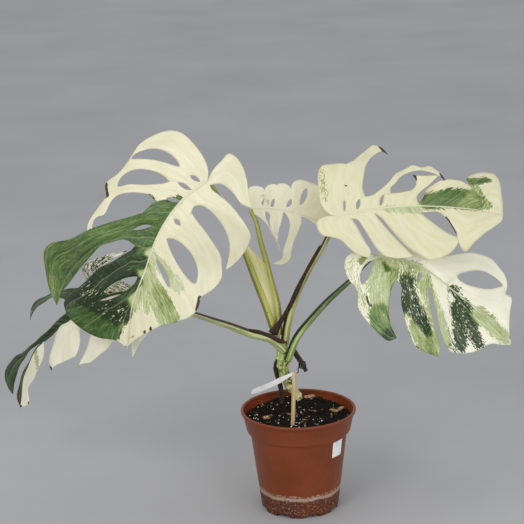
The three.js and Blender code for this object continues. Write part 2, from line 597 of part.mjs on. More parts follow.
// Sheaths: the pale wing that wraps the two back stalks, and two dry brown ones.
const SHEATH = 0.9;
const SHEATHS = {
  sheath_pale: { from: STALKS.petiole_1.path.slice(1, 5), to: STALKS.petiole_3.path.slice(1, 5),
    bulge: [0, -4, 0], colour: "pale" },
  sheath_dry: { from: [[-31.5, 3, 100], [-18, 4, 115], [-5, 5, 137], [9, 4, 164], [26, -3, 198]],
    to: [[-22, 6, 94], [-17, 6, 106], [-8, 5, 122], [2, 4, 142], [15, 1, 170], [30, -4, 198]],
    bulge: [0, -1, 0], colour: "dry" },
  sheath_base: { from: [[-53, 3, 104], [-42, 1, 103], [-30, 0, 98], [-19, -2, 93], [-11, -3, 90]],
    to: [[-52, 3, 101], [-41, 1, 97], [-30, 0, 92], [-20, -2, 87], [-12, -3, 86]],
    bulge: [0, -1, 0], colour: "dry" },
};
for (const [name, { from, to, bulge, colour }] of Object.entries(SHEATHS)) {
  const sheet = membrane(from.map(above), to.map(above), SHEATH, { bulge });
  add(name, cutAway(sheet, ...made, ...leafCuts), colour);
}

// ---- pot ----------------------------------------------------------------------------------------

const lathe = (profile, segments) =>
  solidOf(new THREE.LatheGeometry(profile.map(([r, z]) => new THREE.Vector2(r, z)), segments)
    .rotateX(Math.PI / 2));

// Outside radius of the tapered wall below the shoulder.
const wallRadius = (z) => BASE_RADIUS + ((SHOULDER_RADIUS - BASE_RADIUS) * z) / SHOULDER_Z;
const floorTop = FLOOR_RISE + WALL;
const lipInside = RIM_RADIUS - 3.4;

function potSolid() {
  const profile = [
    [0, 0], [FLOOR_DISC, 0], [FLOOR_DISC, FLOOR_RISE], [BASE_RADIUS - FOOT_RING, FLOOR_RISE],
    [BASE_RADIUS - FOOT_RING, 0], [BASE_RADIUS - 0.6, 0], [BASE_RADIUS, 0.8],
    [SHOULDER_RADIUS, SHOULDER_Z - 0.8], [COLLAR_FOOT - 0.6, SHOULDER_Z], [COLLAR_FOOT, SHOULDER_Z + 0.8],
    [RIM_RADIUS - 2, POT_HEIGHT - 4.6], [RIM_RADIUS - 0.5, POT_HEIGHT - 3.4], [RIM_RADIUS, POT_HEIGHT - 1.7],
    [RIM_RADIUS - 0.7, POT_HEIGHT - 0.4], [RIM_RADIUS - 1.8, POT_HEIGHT], [lipInside, POT_HEIGHT - 1.2],
    [lipInside, POT_HEIGHT - 4], [COLLAR_FOOT - WALL, SHOULDER_Z + 1.8],
    [SHOULDER_RADIUS - WALL, SHOULDER_Z], [wallRadius(floorTop) - WALL, floorTop], [0, floorTop],
  ];
  let pot = lathe(profile, 40);
  for (let i = 0; i < NOTCHES; i++) {
    const notch = new THREE.BoxGeometry(2 * FOOT_RING + 2, NOTCH_WIDTH, 2 * FLOOR_RISE + 1.4);
    notch.translate(BASE_RADIUS, 0, 0).rotateZ(THREE.MathUtils.degToRad(NOTCH_TURN + (360 * i) / NOTCHES));
    pot = pot.subtract(solidOf(notch));
  }
  for (let i = 0; i < DRAIN_HOLES; i++) {
    const hole = new THREE.CylinderGeometry(DRAIN_RADIUS, DRAIN_RADIUS, 4 * WALL, 12);
    hole.rotateX(Math.PI / 2).translate((FLOOR_DISC + BASE_RADIUS - FOOT_RING) / 2, 0, floorTop - WALL / 2);
    pot = pot.subtract(solidOf(hole.rotateZ((2 * Math.PI * i) / DRAIN_HOLES)));
  }
  return pot;
}

const mound = (x, y) =>
  MOUND.height * Math.exp(-((x - MOUND.x) ** 2 + (y - MOUND.y) ** 2) / (2 * MOUND.spread ** 2));

// Radius of the pot's inside at a height on the collar.
const collarInside = (z) => {
  const low = SHOULDER_Z + 1.8;
  return COLLAR_FOOT - WALL + ((lipInside - COLLAR_FOOT + WALL) * (z - low)) / (POT_HEIGHT - 4 - low);
};

function soilSolid() {
  const top = collarInside(SOIL_Z) - CLEARANCE;
  const profile = [
    [0, floorTop + CLEARANCE], [wallRadius(floorTop) - WALL - CLEARANCE, floorTop + CLEARANCE],
    [SHOULDER_RADIUS - WALL - CLEARANCE, SHOULDER_Z],
    [COLLAR_FOOT - WALL - CLEARANCE, SHOULDER_Z + 1.8 + CLEARANCE], [top, SOIL_Z],
    ...[0.85, 0.68, 0.51, 0.34, 0.17, 0].map((share) => [share * top, SOIL_Z]),
  ];
  const geometry = new THREE.LatheGeometry(profile.map(([r, z]) => new THREE.Vector2(r, z)), 36);
  geometry.rotateX(Math.PI / 2);
  const position = geometry.attributes.position;
  for (let i = 0; i < position.count; i++) {
    const [x, y, z] = [position.getX(i), position.getY(i), position.getZ(i)];
    if (z > SOIL_Z - 0.01 && Math.hypot(x, y) < top - 1) position.setZ(i, SOIL_Z + mound(x, y));
  }
  return solidOf(geometry);
}

// ---- stick, tag, label, bark --------------------------------------------------------------------

const STICK = { foot: [-7, -27], lean: [3, 0] }; // where it enters the soil, and how far its top leans
function stickSolid(grow = 0) {
  const { foot: [x, y], lean: [dx, dy] } = STICK;
  const share = STICK_SUNK / (STICK_LENGTH - STICK_SUNK);
  const path = [[x - dx * share, y - dy * share, -STICK_SUNK - grow], [x, y, 0],
    [x + dx, y + dy, STICK_LENGTH - STICK_SUNK]];
  return stalk(path.map(above), [STICK_RADIUS, STICK_RADIUS], { sides: 8, steps: 4, grow });
}

const TAG = { path: [[-1, 5, 51], [-28, 17, 33], [-53, 41, 14.5]] };
function tagSolid() {
  const edge = (side) => TAG.path.map(([x, y, z]) => above([x, y, z + (side * TAG_WIDTH) / 2]));
  return membrane(edge(1), edge(-1), TAG_THICKNESS, { rows: 8, across: 2 });
}

// A ring of thin wire round the right-hand root, with a tail to the tag.
function tieSolid() {
  const [x, y, z] = ROOTS.aerial_root_right.path[2];
  const ring = new THREE.TorusGeometry(TIE.radius, TIE.wire, 5, 12);
  ring.rotateX(0.5).translate(x, y, z + SOIL_Z);
  const path = [[x - TIE.radius + 0.5, y - 1, z - 1], [x - 5, y - 7, z - 3], [TAG.path[0][0] + 1.4, 5, 50]];
  const tail = stalk(path.map(above), [TIE.wire, TIE.wire], { sides: 5, steps: 3 });
  return solidOf(ring).add(tail);
}

// A blank sticker that follows the wall of the pot.
function labelSolid() {
  const top = SHOULDER_Z - 3;
  const spread = LABEL.width / SHOULDER_RADIUS;
  const middle = THREE.MathUtils.degToRad(LABEL.angle);
  const edge = (side) => {
    const turn = middle + (side * spread) / 2;
    return [0, 0.5, 1].map((share) => {
      const z = top - LABEL.height * share;
      const radius = wallRadius(z) + CLEARANCE + LABEL.thickness / 2 + 0.1;
      return new THREE.Vector3(radius * Math.cos(turn), radius * Math.sin(turn), z);
    });
  };
  const sag = wallRadius(top) * (1 - Math.cos(spread / 2));
  const bulge = [sag * Math.cos(middle), sag * Math.sin(middle), 0];
  return membrane(edge(-1), edge(1), LABEL.thickness, { rows: 2, across: 8, bulge });
}

const CHIP_LIFT = 1.3; // keeps a chip off the slope it lies on
const CHIPS = [
  { at: [14, 40], size: [13, 4, 3], turn: 25 },
  { at: [41, 10], size: [9, 3, 2], turn: -35 },
  { at: [49, 16], size: [7, 3, 2], turn: 60 },
  { at: [-36, -8], size: [7, 4, 3], turn: 15 },
];
function chipSolid({ at: [x, y], size: [length, width, height], turn }) {
  const chip = new THREE.CylinderGeometry(width / 2, (0.7 * width) / 2, length, 7);
  chip.rotateZ(Math.PI / 2).scale(1, 1, height / width).rotateZ(THREE.MathUtils.degToRad(turn));
  return solidOf(chip.translate(x, y, SOIL_Z + mound(x, y) + height / 2 + CHIP_LIFT));
}

add("pot", potSolid(), "pot");
const sockets = [...made, stickSolid(CLEARANCE)];
add("soil", cutAway(soilSolid(), ...sockets), "soil");
add("stick", stickSolid(), "wood");
add("plant_tag", cutAway(tagSolid(), ...made), "tag");
add("tag_tie", cutAway(tieSolid(), ...made), "root");
add("pot_label", labelSolid(), "tag");
CHIPS.forEach((chip, i) => add(`bark_chip_${i + 1}`, chipSolid(chip), "bark"));

export default plant;
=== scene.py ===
import json
import math

import bpy
import numpy as np
from mathutils import Matrix, Vector, kdtree, noise


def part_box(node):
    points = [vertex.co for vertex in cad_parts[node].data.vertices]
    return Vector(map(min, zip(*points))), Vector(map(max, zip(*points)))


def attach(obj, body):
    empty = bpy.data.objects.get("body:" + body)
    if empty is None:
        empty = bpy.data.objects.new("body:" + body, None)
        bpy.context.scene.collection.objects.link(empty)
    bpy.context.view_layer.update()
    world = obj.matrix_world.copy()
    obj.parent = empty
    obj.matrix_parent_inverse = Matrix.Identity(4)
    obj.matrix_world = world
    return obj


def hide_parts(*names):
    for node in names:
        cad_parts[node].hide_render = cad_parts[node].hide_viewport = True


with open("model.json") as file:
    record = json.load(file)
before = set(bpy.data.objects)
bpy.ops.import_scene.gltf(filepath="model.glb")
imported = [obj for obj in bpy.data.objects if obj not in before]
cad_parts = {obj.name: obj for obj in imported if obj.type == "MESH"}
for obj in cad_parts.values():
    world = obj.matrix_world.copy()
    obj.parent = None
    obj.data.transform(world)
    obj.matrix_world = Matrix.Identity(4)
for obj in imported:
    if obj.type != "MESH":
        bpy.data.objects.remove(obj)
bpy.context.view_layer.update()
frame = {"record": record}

bl_info = {
    "name": "Potted monstera",
    "version": (1, 0, 0),
    "blender": (4, 5, 0),
    "location": "3D View > Sidebar > Monstera",
    "description": "Builds a variegated monstera in a nursery pot, piece by piece",
    "category": "Add Mesh",
}

# Lengths are in millimetres until a mesh is made. +Z is up, and the origin is the middle of the pot's base.
MM = 0.001
POT_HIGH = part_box("pot")[1] / MM
POT_HEIGHT = POT_HIGH.z
RIM_RADIUS = POT_HIGH.x
HEADSPACE = 10  # lip to soil
SOIL_Z = POT_HEIGHT - HEADSPACE
BASE_RADIUS = 43.5
WALL = 1.3
COLLAR_HEIGHT = 25
SHOULDER_Z = POT_HEIGHT - COLLAR_HEIGHT
COLLAR_FOOT = RIM_RADIUS - 6.4
SHOULDER_RADIUS = COLLAR_FOOT - 3.8
FLOOR_RISE = 3.2
FLOOR_DISC = 14
FOOT_RING = 5.5
NOTCHES = 8
NOTCH_WIDTH = 16
NOTCH_HEIGHT = 3.9
NOTCH_TURN = 17  # degrees
LIP_INSIDE = RIM_RADIUS - 3.4
MOUND = {"x": 2, "y": 36, "spread": 18, "height": 8}
TIDE_Z = 24  # dried hard-water line on the pot

# Leaves
FINE = 4  # mesh rows here for each row in a leaf's table
ACROSS = 12  # mesh strips across a lobe
RIB_RADIUS = 1.9
RIB_END = 0.7
UV_SCALE = 100  # mm of blade for one unit of its UV map


# ---- curves and meshes ---------------------------------------------------------------------------


class Curve:
    """A smooth curve through points, read by the share of its length."""

    DIVISIONS = 200

    def __init__(self, points):
        self.points = np.asarray(points, float)
        self.knots = np.linspace(0, 1, self.DIVISIONS + 1)
        steps = np.linalg.norm(np.diff(self.at_knots(self.knots), axis=0), axis=1)
        self.lengths = np.concatenate([[0], np.cumsum(steps)])
        self.length = self.lengths[-1]

    def at_knots(self, knots):
        """Points of the centripetal Catmull-Rom curve, its given points evenly spread from 0 to 1."""
        p = self.points
        p = np.vstack([2 * p[0] - p[1], p, 2 * p[-1] - p[-2]])
        place = np.clip(np.asarray(knots, float), 0, 1) * (len(p) - 3)
        first = np.minimum(place.astype(int), len(p) - 4)
        w = (place - first)[:, None]
        p0, p1, p2, p3 = (p[first + k] for k in range(4))
        gaps = [np.linalg.norm(b - a, axis=1)[:, None] ** 0.5 for a, b in ((p0, p1), (p1, p2), (p2, p3))]
        d0, d1, d2 = (np.maximum(g, 1e-4) for g in gaps)
        t1 = ((p1 - p0) / d0 - (p2 - p0) / (d0 + d1) + (p2 - p1) / d1) * d1
        t2 = ((p2 - p1) / d1 - (p3 - p1) / (d1 + d2) + (p3 - p2) / d2) * d1
        return p1 + t1 * w + (3 * (p2 - p1) - 2 * t1 - t2) * w**2 + (2 * (p1 - p2) + t1 + t2) * w**3

    def at(self, share):
        wanted = np.atleast_1d(share) * self.length
        return self.at_knots(np.interp(wanted, self.lengths, self.knots))

    def along(self, share):
        """Unit tangents."""
        share = np.atleast_1d(share)
        ahead = self.at(np.minimum(share + 2e-3, 1)) - self.at(np.maximum(share - 2e-3, 0))
        return ahead / np.maximum(np.linalg.norm(ahead, axis=1, keepdims=True), 1e-9)

    def share(self, index):
        """How far along its length the curve passes the point of that index."""
        return float(np.interp(index / (len(self.points) - 1), self.knots, self.lengths / self.length))


def above(points):
    """Points of the plant, their heights counted from the soil line."""
    return np.asarray(points, float) + (0, 0, SOIL_Z)


def make_piece(name, points, faces, material, uvs=None, values=None):
    """A smooth mesh object from points in mm. `uvs` is one pair for each face corner, in order."""
    mesh = bpy.data.meshes.new(name)
    mesh.from_pydata((np.asarray(points) * MM).tolist(), [], faces)
    if uvs is not None:
        layer = mesh.uv_layers.new(name="grain")
        layer.data.foreach_set("uv", np.asarray(uvs, float).ravel())
    for key, numbers in (values or {}).items():
        attribute = mesh.attributes.new(key, "FLOAT", "POINT")
        attribute.data.foreach_set("value", np.asarray(numbers, float))
    mesh.shade_smooth()
    mesh.materials.append(material)
    piece = bpy.data.objects.new(name, mesh)
    bpy.context.scene.collection.objects.link(piece)
    return piece


def finish_piece(piece, slot, *nodes):
    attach(piece, "root")
    if nodes:
        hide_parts(*nodes)


def grid_faces(rows, columns, closed=False):
    """Quads over a grid of rows x columns points, each row joined to its own start where it is closed."""
    faces = []
    for r in range(rows - 1):
        for c in range(columns if closed else columns - 1):
            d = (c + 1) % columns
            faces.append((r * columns + c, r * columns + d, (r + 1) * columns + d, (r + 1) * columns + c))
    return faces


def tube(path, radii, sides=20, steps=60, bumps=None):
    """A round stalk along a path: its points, faces, corner UVs (turn, mm along), and ring directions."""
    curve = Curve(path)
    share = np.linspace(0, 1, steps + 1)
    centres = curve.at(share)
    tangents = curve.along(share)
    radius = np.interp(share, np.linspace(0, 1, len(radii)), radii)
    side = np.cross(tangents[0], (0, 0, 1) if abs(tangents[0][2]) < 0.9 else (1, 0, 0))
    turn = 2 * np.pi * np.arange(sides) / sides
    points, outward = [], []
    for i in range(steps + 1):
        side = side - tangents[i] * (side @ tangents[i])
        side = side / np.linalg.norm(side)
        other = np.cross(tangents[i], side)
        ring = np.cos(turn)[:, None] * side + np.sin(turn)[:, None] * other
        reach = radius[i] * (1 + (bumps(share[i], turn) if bumps else 0 * turn))
        points.append(centres[i] + ring * reach[:, None])
        outward.append(ring)
    points, outward = np.vstack(points), np.vstack(outward)
    faces = grid_faces(steps + 1, sides, closed=True)
    uvs = []
    for i, face in enumerate(faces):
        c, r = i % sides, i // sides
        low, high = share[r] * curve.length / UV_SCALE, share[r + 1] * curve.length / UV_SCALE
        uvs += [(c / sides, low), ((c + 1) / sides, low), ((c + 1) / sides, high), (c / sides, high)]
    last = steps * sides
    for cap in (tuple(range(sides - 1, -1, -1)), tuple(range(last, last + sides))):
        faces.append(cap)
        uvs += [(0, 0)] * sides
    along = np.repeat(share, sides)
    return points, faces, uvs, outward, along


def sheet_faces(rows, across):
    """Faces of a closed thin sheet, from its upper grid of points and then its lower, joined at the edge."""
    upper = [face[::-1] for face in grid_faces(rows + 1, across + 1)]
    count = (rows + 1) * (across + 1)
    faces = upper + [tuple(v + count for v in reversed(face)) for face in upper]
    loop = [*range(across), *((across + 1) * r + across for r in range(rows)),
            *((across + 1) * rows + c for c in range(across, 0, -1)),
            *((across + 1) * r for r in range(rows, 0, -1))]
    for v, w in zip(loop, loop[1:] + loop[:1]):
        faces.append((v, w, w + count, v + count))
    return faces


def sheet(edge_a, edge_b, thickness, bulge=(0, 0, 0), rows=40, across=12):
    """A thin closed sheet between two edges, its points, faces and corner UVs."""
    share = np.linspace(0, 1, rows + 1)
    a, b = Curve(edge_a).at(share), Curve(edge_b).at(share)
    s = np.linspace(0, 1, across + 1)
    middle = a[:, None] + (b - a)[:, None] * s[None, :, None]
    middle = middle + np.asarray(bulge, float) * np.sin(np.pi * s)[None, :, None]
    normal = np.cross(np.gradient(middle, axis=1), np.gradient(middle, axis=0))
    normal /= np.maximum(np.linalg.norm(normal, axis=2, keepdims=True), 1e-9)
    top = (middle + normal * thickness / 2).reshape(-1, 3)
    bottom = (middle - normal * thickness / 2).reshape(-1, 3)
    faces = sheet_faces(rows, across)
    width = np.linalg.norm(b - a, axis=1)
    along = np.outer(share, np.ones_like(s)) * Curve(edge_a).length
    grain = np.stack([np.outer(width, s) / UV_SCALE, along / UV_SCALE], -1)
    grain = np.vstack([grain.reshape(-1, 2)] * 2)
    uvs = [tuple(grain[v]) for face in faces for v in face]
    rim = np.minimum(np.outer(width, s), np.outer(width, 1 - s)).ravel()
    return np.vstack([top, bottom]), faces, uvs, np.concatenate([rim, rim])


def rounded(profile, radius, corners=4):
    """A profile of (radius, height) points with its sharp corners rounded."""
    result = [profile[0]]
    for before, here, after in zip(profile, profile[1:], profile[2:]):
        before, here, after = (np.asarray(p, float) for p in (before, here, after))
        cut = [min(radius, 0.45 * np.linalg.norm(end - here)) for end in (before, after)]
        start = here + (before - here) / np.linalg.norm(before - here) * cut[0]
        end = here + (after - here) / np.linalg.norm(after - here) * cut[1]
        for t in np.linspace(0, 1, corners):
            result.append(tuple((1 - t) ** 2 * start + 2 * t * (1 - t) * here + t**2 * end))
    return result + [profile[-1]]


def lathe(profile, segments):
    """A turned shape whose profile starts and ends on the axis: its points and faces."""
    turn = 2 * np.pi * np.arange(segments) / segments
    rings = np.array([[(r * np.cos(a), r * np.sin(a), z) for a in turn]
                      for r, z in profile[1:-1]]).reshape(-1, 3)
    faces = grid_faces(len(profile) - 2, segments, closed=True)
    first, last = len(rings), len(rings) + 1
    top = (len(profile) - 3) * segments
    for c in range(segments):
        d = (c + 1) % segments
        faces += [(first, d, c), (top + c, top + d, last)]
    return np.vstack([rings, [(0, 0, profile[0][1])], [(0, 0, profile[-1][1])]]), faces


# ---- leaves --------------------------------------------------------------------------------------
# A leaf is drawn flat, as its face is seen, in mm from where it joins its stalk: x to the right, y up.
# From the midrib out, gaps part the lobes. A gap has a path from the midrib to where the two lobes come
# apart, its mesh rows, and its holes: [from point, to point, half width]. A lobe lies between two gaps.
# Past them it has its own edge on either side, or ends there.
# at is where the leaf joins its stalk, from the soil line. turn and tilt, in degrees, say which way its face
# looks. rise is the blade's slope off the midrib, and arch and nod are the radii it bends over, across and
# along. A swell is [x, y, reach, height]. With hand 1, side_a is on the left going from the stalk to the
# tip; with -1 it is on the right. greens give a lobe's cover and depth of green, and rib_green the midrib's.
# A patch is a band [from x, y, to x, y, half width, cover, depth]. browns are bands that brown a free edge,
# and scars are bands that brown the blade all through. ivory is the blade's two pale creams, and it holds
# painted light and shade: paler on leaf_2 and leaf_5 as painted light, darker on leaf_1 and leaf_4 as
# painted shade.


def gap(rows, path, holes=()):
    return {"rows": rows * FINE, "path": path, "holes": holes}


def lobe(name, rows, before, after, bow=0, slant=0):
    return {"name": name, "rows": rows * FINE, "before": before, "after": after, "bow": bow, "slant": slant}


LEAVES = {
    "leaf_1": {
      "at": [-92, -38, 284], "turn": -8, "tilt": 22, "rise": 0.1, "arch": 190, "nod": 600,
      "swells": [[-118, -65, 45, 16], [-190, -95, 70, -24], [-125, -115, 50, 10], [22, -85, 60, -14],
        [5, -112, 50, -8], [44, -10, 40, -8]],
      "midrib": [[0, 0], [-19, -14], [-34, -29], [-47, -48], [-58, -70], [-66, -93], [-73, -110],
        [-81, -130], [-85, -151], [-89, -179]],
      "hand": -1,
      "greens": {"green_upper": (1, 0.68), "green_lower": (1, 0.74), "bowl_upper": (1, 1.05),
        "bowl_lower": (0.92, 0.9)},
      # leaf_1's creams are set darker as painted shade.
      "ivory_with_painted_light": ("#E4E0C5", "#DAD5B1"),
      "rib_green": (0.3, 0),
      "patches": [[-51, -34, -32, -21, 5.4, 1, 0.7], [-63, -19, -53, -31, 4.3, 1, 0.75],
        [-72, -116, -100, -154, 8.6, 0.95, 0.15], [-72, -87, -64, -69, 6.5, 1, 0.75],
        [-148, -140, -105, -162, 9.7, 1, 0.78], [-134, -117, -97, -140, 11.9, 0.76, 1.05],
        [-60, -80, -31, -113, 6.5, 0.9, 0.1], [-65, -97, -47, -146, 8.6, 1, 0.2],
        [-51, -118, -36, -146, 6.5, 1, 0.36], [-69, -120, -65, -140, 3.2, 0.9, 0.2],
        [-191, -69, -183, -113, 8.6, 1, 0.6],
        [-88, -87, -71, -87, 6.5, 1, 0.97], [-95, -126, -75, -108, 4.3, 1, 0.98]],
      "browns": [[-9, -124, -11, -137, 2.4], [-115, -2, -112, -15, 3.2], [-68, -160, -63, -158, 3.2],
        [-86, -166, -83, -165, 2.7], [-89, -178, -89, -179, 2.2], [-36, -33, -34, -40, 1.3]],
      "scars": [],
      "side_a": [
        gap(10, [[0, 0], [0, 12], [-6, 26], [-16, 39], [-31, 52], [-46, 55], [-64, 49], [-77, 41],
          [-86, 26], [-100, 8], [-114, -2], [-112, -17]]),
        lobe("crown", 10, [], []),
        gap(10, [[-5, -4], [-9, -1], [-19, 5], [-31, 15], [-47, 25], [-65, 29], [-86, 24], [-100, 5],
          [-109, -6], [-112, -17]], [[1, 2, 2.5], [3, 6, 6.2]]),
        lobe("crown_under", 10, [], []),
        gap(10, [[-13, -10], [-18, -10], [-32, -3], [-43, -1], [-63, 3], [-86, 3], [-100, -6],
          [-112, -17]], [[1, 2, 2.5], [3, 6, 8.5]]),
        lobe("curled", 14, [[-120, -27], [-128, -41], [-131, -52], [-127, -60], [-119, -68]], [[-63, -16],
          [-70, -14], [-85, -13], [-100, -16], [-107, -23], [-113, -37], [-122, -40], [-125, -49],
          [-122, -60], [-119, -68]]),
        gap(4, [[-25, -21], [-30, -22], [-44, -20], [-51, -21], [-56, -23]], [[1, 2, 2.5]]),
        lobe("green_upper", 14, [[-55, -29], [-73, -36], [-90, -41], [-123, -52], [-153, -60], [-185, -63],
          [-194, -71], [-193, -89], [-186, -113], [-174, -131]], []),
        gap(14, [[-49, -52], [-60, -49], [-80, -53], [-104, -65], [-135, -77], [-167, -94], [-174, -131]],
          [[1, 2, 2.3]]),
        lobe("green_lower", 14, [], [[-88, -64], [-101, -67], [-115, -73], [-129, -85], [-147, -97],
          [-157, -107], [-167, -115], [-174, -131]]),
        gap(3, [[-60, -74], [-70, -72], [-78, -70]]),
        lobe("bowl_upper", 12, [[-82, -75], [-89, -79], [-102, -88], [-115, -94], [-130, -106],
          [-144, -115], [-159, -122], [-164, -129], [-161, -138]], []),
        gap(12, [[-66, -93], [-76, -103], [-94, -114], [-117, -128], [-135, -136], [-161, -138]],
          [[1, 3, 6.8]]),
        lobe("bowl_lower", 12, [], [], 6),
        gap(12, [[-73, -110], [-86, -132], [-103, -154], [-112, -169]]),
        lobe("tip_left", 14, [[-102, -170], [-94, -174], [-89, -179]], []),
      ],
      "side_b": [
        gap(10, [[0, 0], [6, 12], [14, 21], [22, 29], [31, 24], [37, 15], [41, 2], [43, -14], [46, -28]]),
        lobe("ear", 10, [], [[15, -4], [27, -13], [36, -24], [46, -28]]),
        gap(1, [[-2, -2], [2, -5]]),
        lobe("right_outer", 13, [[5, -10], [13, -16], [24, -25], [35, -38], [43, -50], [46, -58],
          [42, -68], [34, -79], [25, -87], [17, -92]], [[-7, -27], [4, -33], [12, -42], [19, -53],
          [22, -63], [22, -73], [17, -92]]),
        gap(3, [[-21, -17], [-19, -23], [-14, -28]]),
        lobe("right_middle", 13, [[-17, -33], [-12, -42], [-3, -53], [5, -65], [12, -77], [13, -88],
          [13, -100], [8, -109], [-1, -118]], []),
        gap(13, [[-38, -36], [-35, -42], [-29, -48], [-10, -70], [2, -93], [-1, -118]], [[1, 2, 2.5]]),
        lobe("right_inner", 13, [], []),
        gap(13, [[-53, -61], [-43, -63], [-32, -73], [-22, -88], [-14, -109], [-9, -124]], [[1, 4, 9]]),
        lobe("right_lower", 13, [], [], 6),
        gap(13, [[-60, -75], [-55, -84], [-47, -98], [-40, -115], [-32, -132], [-27, -148]], [[1, 3, 2.6]]),
        lobe("right_low", 13, [], [], 1),
        gap(13, [[-71, -106], [-62, -122], [-54, -139], [-47, -153]]),
        lobe("tip_right", 14, [[-62, -159], [-74, -165], [-83, -170], [-89, -179]], []),
      ],
        },
    "leaf_2": {
      "at": [-173, 5, 150], "turn": -25, "tilt": 38, "rise": 0.05, "arch": 150, "nod": 260,
      "swells": [[-200, -95, 80, -22], [-165, -20, 50, -14], [-150, -120, 60, -12], [-110, -85, 45, -8],
        [-70, -82, 40, -6], [-40, 45, 40, -8]],
      "midrib": [[0, 0], [-27, -5], [-51, -14], [-84, -35], [-108, -50], [-130, -62], [-153, -78],
        [-172, -93], [-174, -122]],
      "hand": -1,
      "greens": {"thin": (1, 0.85), "dark": (1, 0.97), "tip_left": (1, 0.98), "back_curl": (0.5, 0.85)},
      # leaf_2's creams are set paler as painted light.
      "ivory_with_painted_light": ("#F2EFDA", "#EAE6CA"),
      "rib_green": (1, 0.9),
      "patches": [[-138, -70, -136, -84, 3.2, 0.95, 0.2], [-76, 32, -56, 34, 7.6, 0.5, 0.85],
        [-48, 44, -38, 53, 4.3, 0.15, 0.3]],
      "browns": [[-44, 54, -34, 56, 3.5], [-113, -84, -112, -90, 2.4], [-180, -111, -172, -123, 2.7],
        [-159, -118, -151, -121, 1.6]],
      "scars": [],
      "side_a": [
        gap(12, [[0, 0], [-18, 8], [-41, 17], [-55, 27], [-54, 38], [-46, 46], [-40, 53]]),
        lobe("back_curl", 12, [], [[-79, 14], [-88, 25], [-82, 32], [-69, 40], [-53, 48], [-40, 53]]),
        gap(4, [[-34, -8], [-51, -2], [-69, 5]]),
        lobe("thin", 14, [[-85, 0], [-103, -1], [-115, -4], [-136, -4], [-158, -4], [-171, -11],
          [-169, -27]], [[-99, -14], [-117, -10], [-139, -10], [-157, -13], [-166, -18], [-169, -27]]),
        gap(3, [[-68, -25], [-81, -22]]),
        lobe("dark", 14, [[-93, -37], [-108, -44], [-128, -55], [-156, -64], [-192, -68], [-209, -75],
          [-214, -84], [-206, -96], [-193, -106]], [[-142, -65], [-164, -72], [-180, -80], [-190, -91],
          [-193, -106]]),
        gap(2, [[-123, -58], [-130, -61]]),
        lobe("tip_left", 14, [[-145, -73], [-166, -82], [-179, -94], [-184, -108], [-174, -122]], []),
      ],
      "side_b": [
        gap(12, [[0, 0], [15, -9], [27, -21], [24, -36], [18, -49], [10, -61], [4, -72]]),
        lobe("tan", 12, [], [[1, -55], [4, -72]]),
        gap(8, [[-15, -3], [-7, -21], [-4, -40]]),
        lobe("cream_wide", 14, [[-13, -50], [-22, -58], [-31, -68], [-49, -80], [-61, -82], [-68, -84]],
          [[-51, -50], [-56, -64], [-63, -75], [-68, -84]]),
        gap(6, [[-41, -12], [-41, -32]]),
        lobe("cream", 14, [[-56, -40], [-69, -47], [-68, -59], [-71, -71], [-75, -76]], [[-97, -46],
          [-106, -51], [-110, -64], [-115, -76], [-116, -83], [-112, -89]], -1),
        gap(2, [[-79, -31], [-83, -38]]),
        lobe("tip_right", 14, [[-106, -51], [-119, -55], [-125, -61], [-124, -69], [-128, -79],
          [-136, -87], [-145, -95], [-160, -105], [-154, -120], [-174, -122]], []),
      ],
        },
    "leaf_3": {
      "at": [-49, 30, 236], "turn": 6, "tilt": 30, "rise": 0.1, "arch": 60, "nod": 400,
      "swells": [[30, -52, 40, -8]],
      "midrib": [[0, 0], [14, -1], [29, -2], [42, -5], [57, -9], [70, -14], [85, -19], [99, -26]],
      "hand": 1,
      "greens": {},
      "ivory_with_painted_light": ("#E8E4CB", "#DFDAB9"),
      "rib_green": (0, 0),
      "patches": [[16, 13, 22, 4, 3.2, 0.5, 0.1]],
      "browns": [[39, -10, 40, -14, 1.1]],
      "scars": [],
      "side_a": [
        gap(8, [[0, 0], [-5, 3], [-6, 10], [-2, 19], [2, 24]]),
        lobe("roll_1", 8, [], [], 4),
        gap(8, [[17, -1], [15, 2], [16, 8], [18, 15], [19, 20]], [[1, 2, 1.1]]),
        lobe("roll_2a", 8, [], [], 4),
        gap(8, [[22, -2], [24, -1], [28, 9], [31, 18], [33, 26]], [[1, 2, 1.9]]),
        lobe("roll_2b", 8, [], [], 5),
        gap(8, [[37, -4], [42, -1], [48, 8], [50, 14], [49, 21]], [[1, 2, 2.3]]),
        lobe("roll_3", 8, [], [], 7),
        gap(8, [[55, -8], [58, 1], [64, 14], [67, 22], [70, 31]], [[1, 3, 3]]),
        lobe("tip_back", 12, [[82, 27], [90, 13], [97, -4], [99, -26]], []),
      ],
      "side_b": [
        gap(10, [[0, 0], [3, -6], [10, -11], [17, -18], [23, -28], [30, -38], [34, -47]]),
        lobe("thread", 10, [], [[17, -10], [20, -20], [26, -32], [34, -47]]),
        gap(1, [[19, -2], [18, -4]]),
        lobe("dagger", 10, [[22, -9], [21, -17], [23, -27], [30, -37]], [[37, -10], [35, -17], [31, -27],
          [30, -37]]),
        gap(1, [[36, -4], [38, -6]]),
        lobe("long", 14, [[41, -10], [44, -18], [43, -27], [40, -36], [36, -45], [35, -53], [24, -58]],
          [[58, -18], [53, -29], [48, -38], [45, -48], [43, -56], [37, -59], [24, -58]]),
        gap(1, [[57, -9], [58, -12]]),
        lobe("tip_front", 12, [[65, -15], [76, -23], [87, -28], [99, -26]], []),
      ],
        },
    "leaf_4": {
      "at": [43, -12, 234], "turn": 10, "tilt": 44, "rise": 0.12, "arch": 150, "nod": 900,
      "swells": [[75, 100, 60, -10], [30, -50, 40, -10], [75, -45, 50, -12], [130, -40, 40, -8],
        [140, 35, 45, 10]],
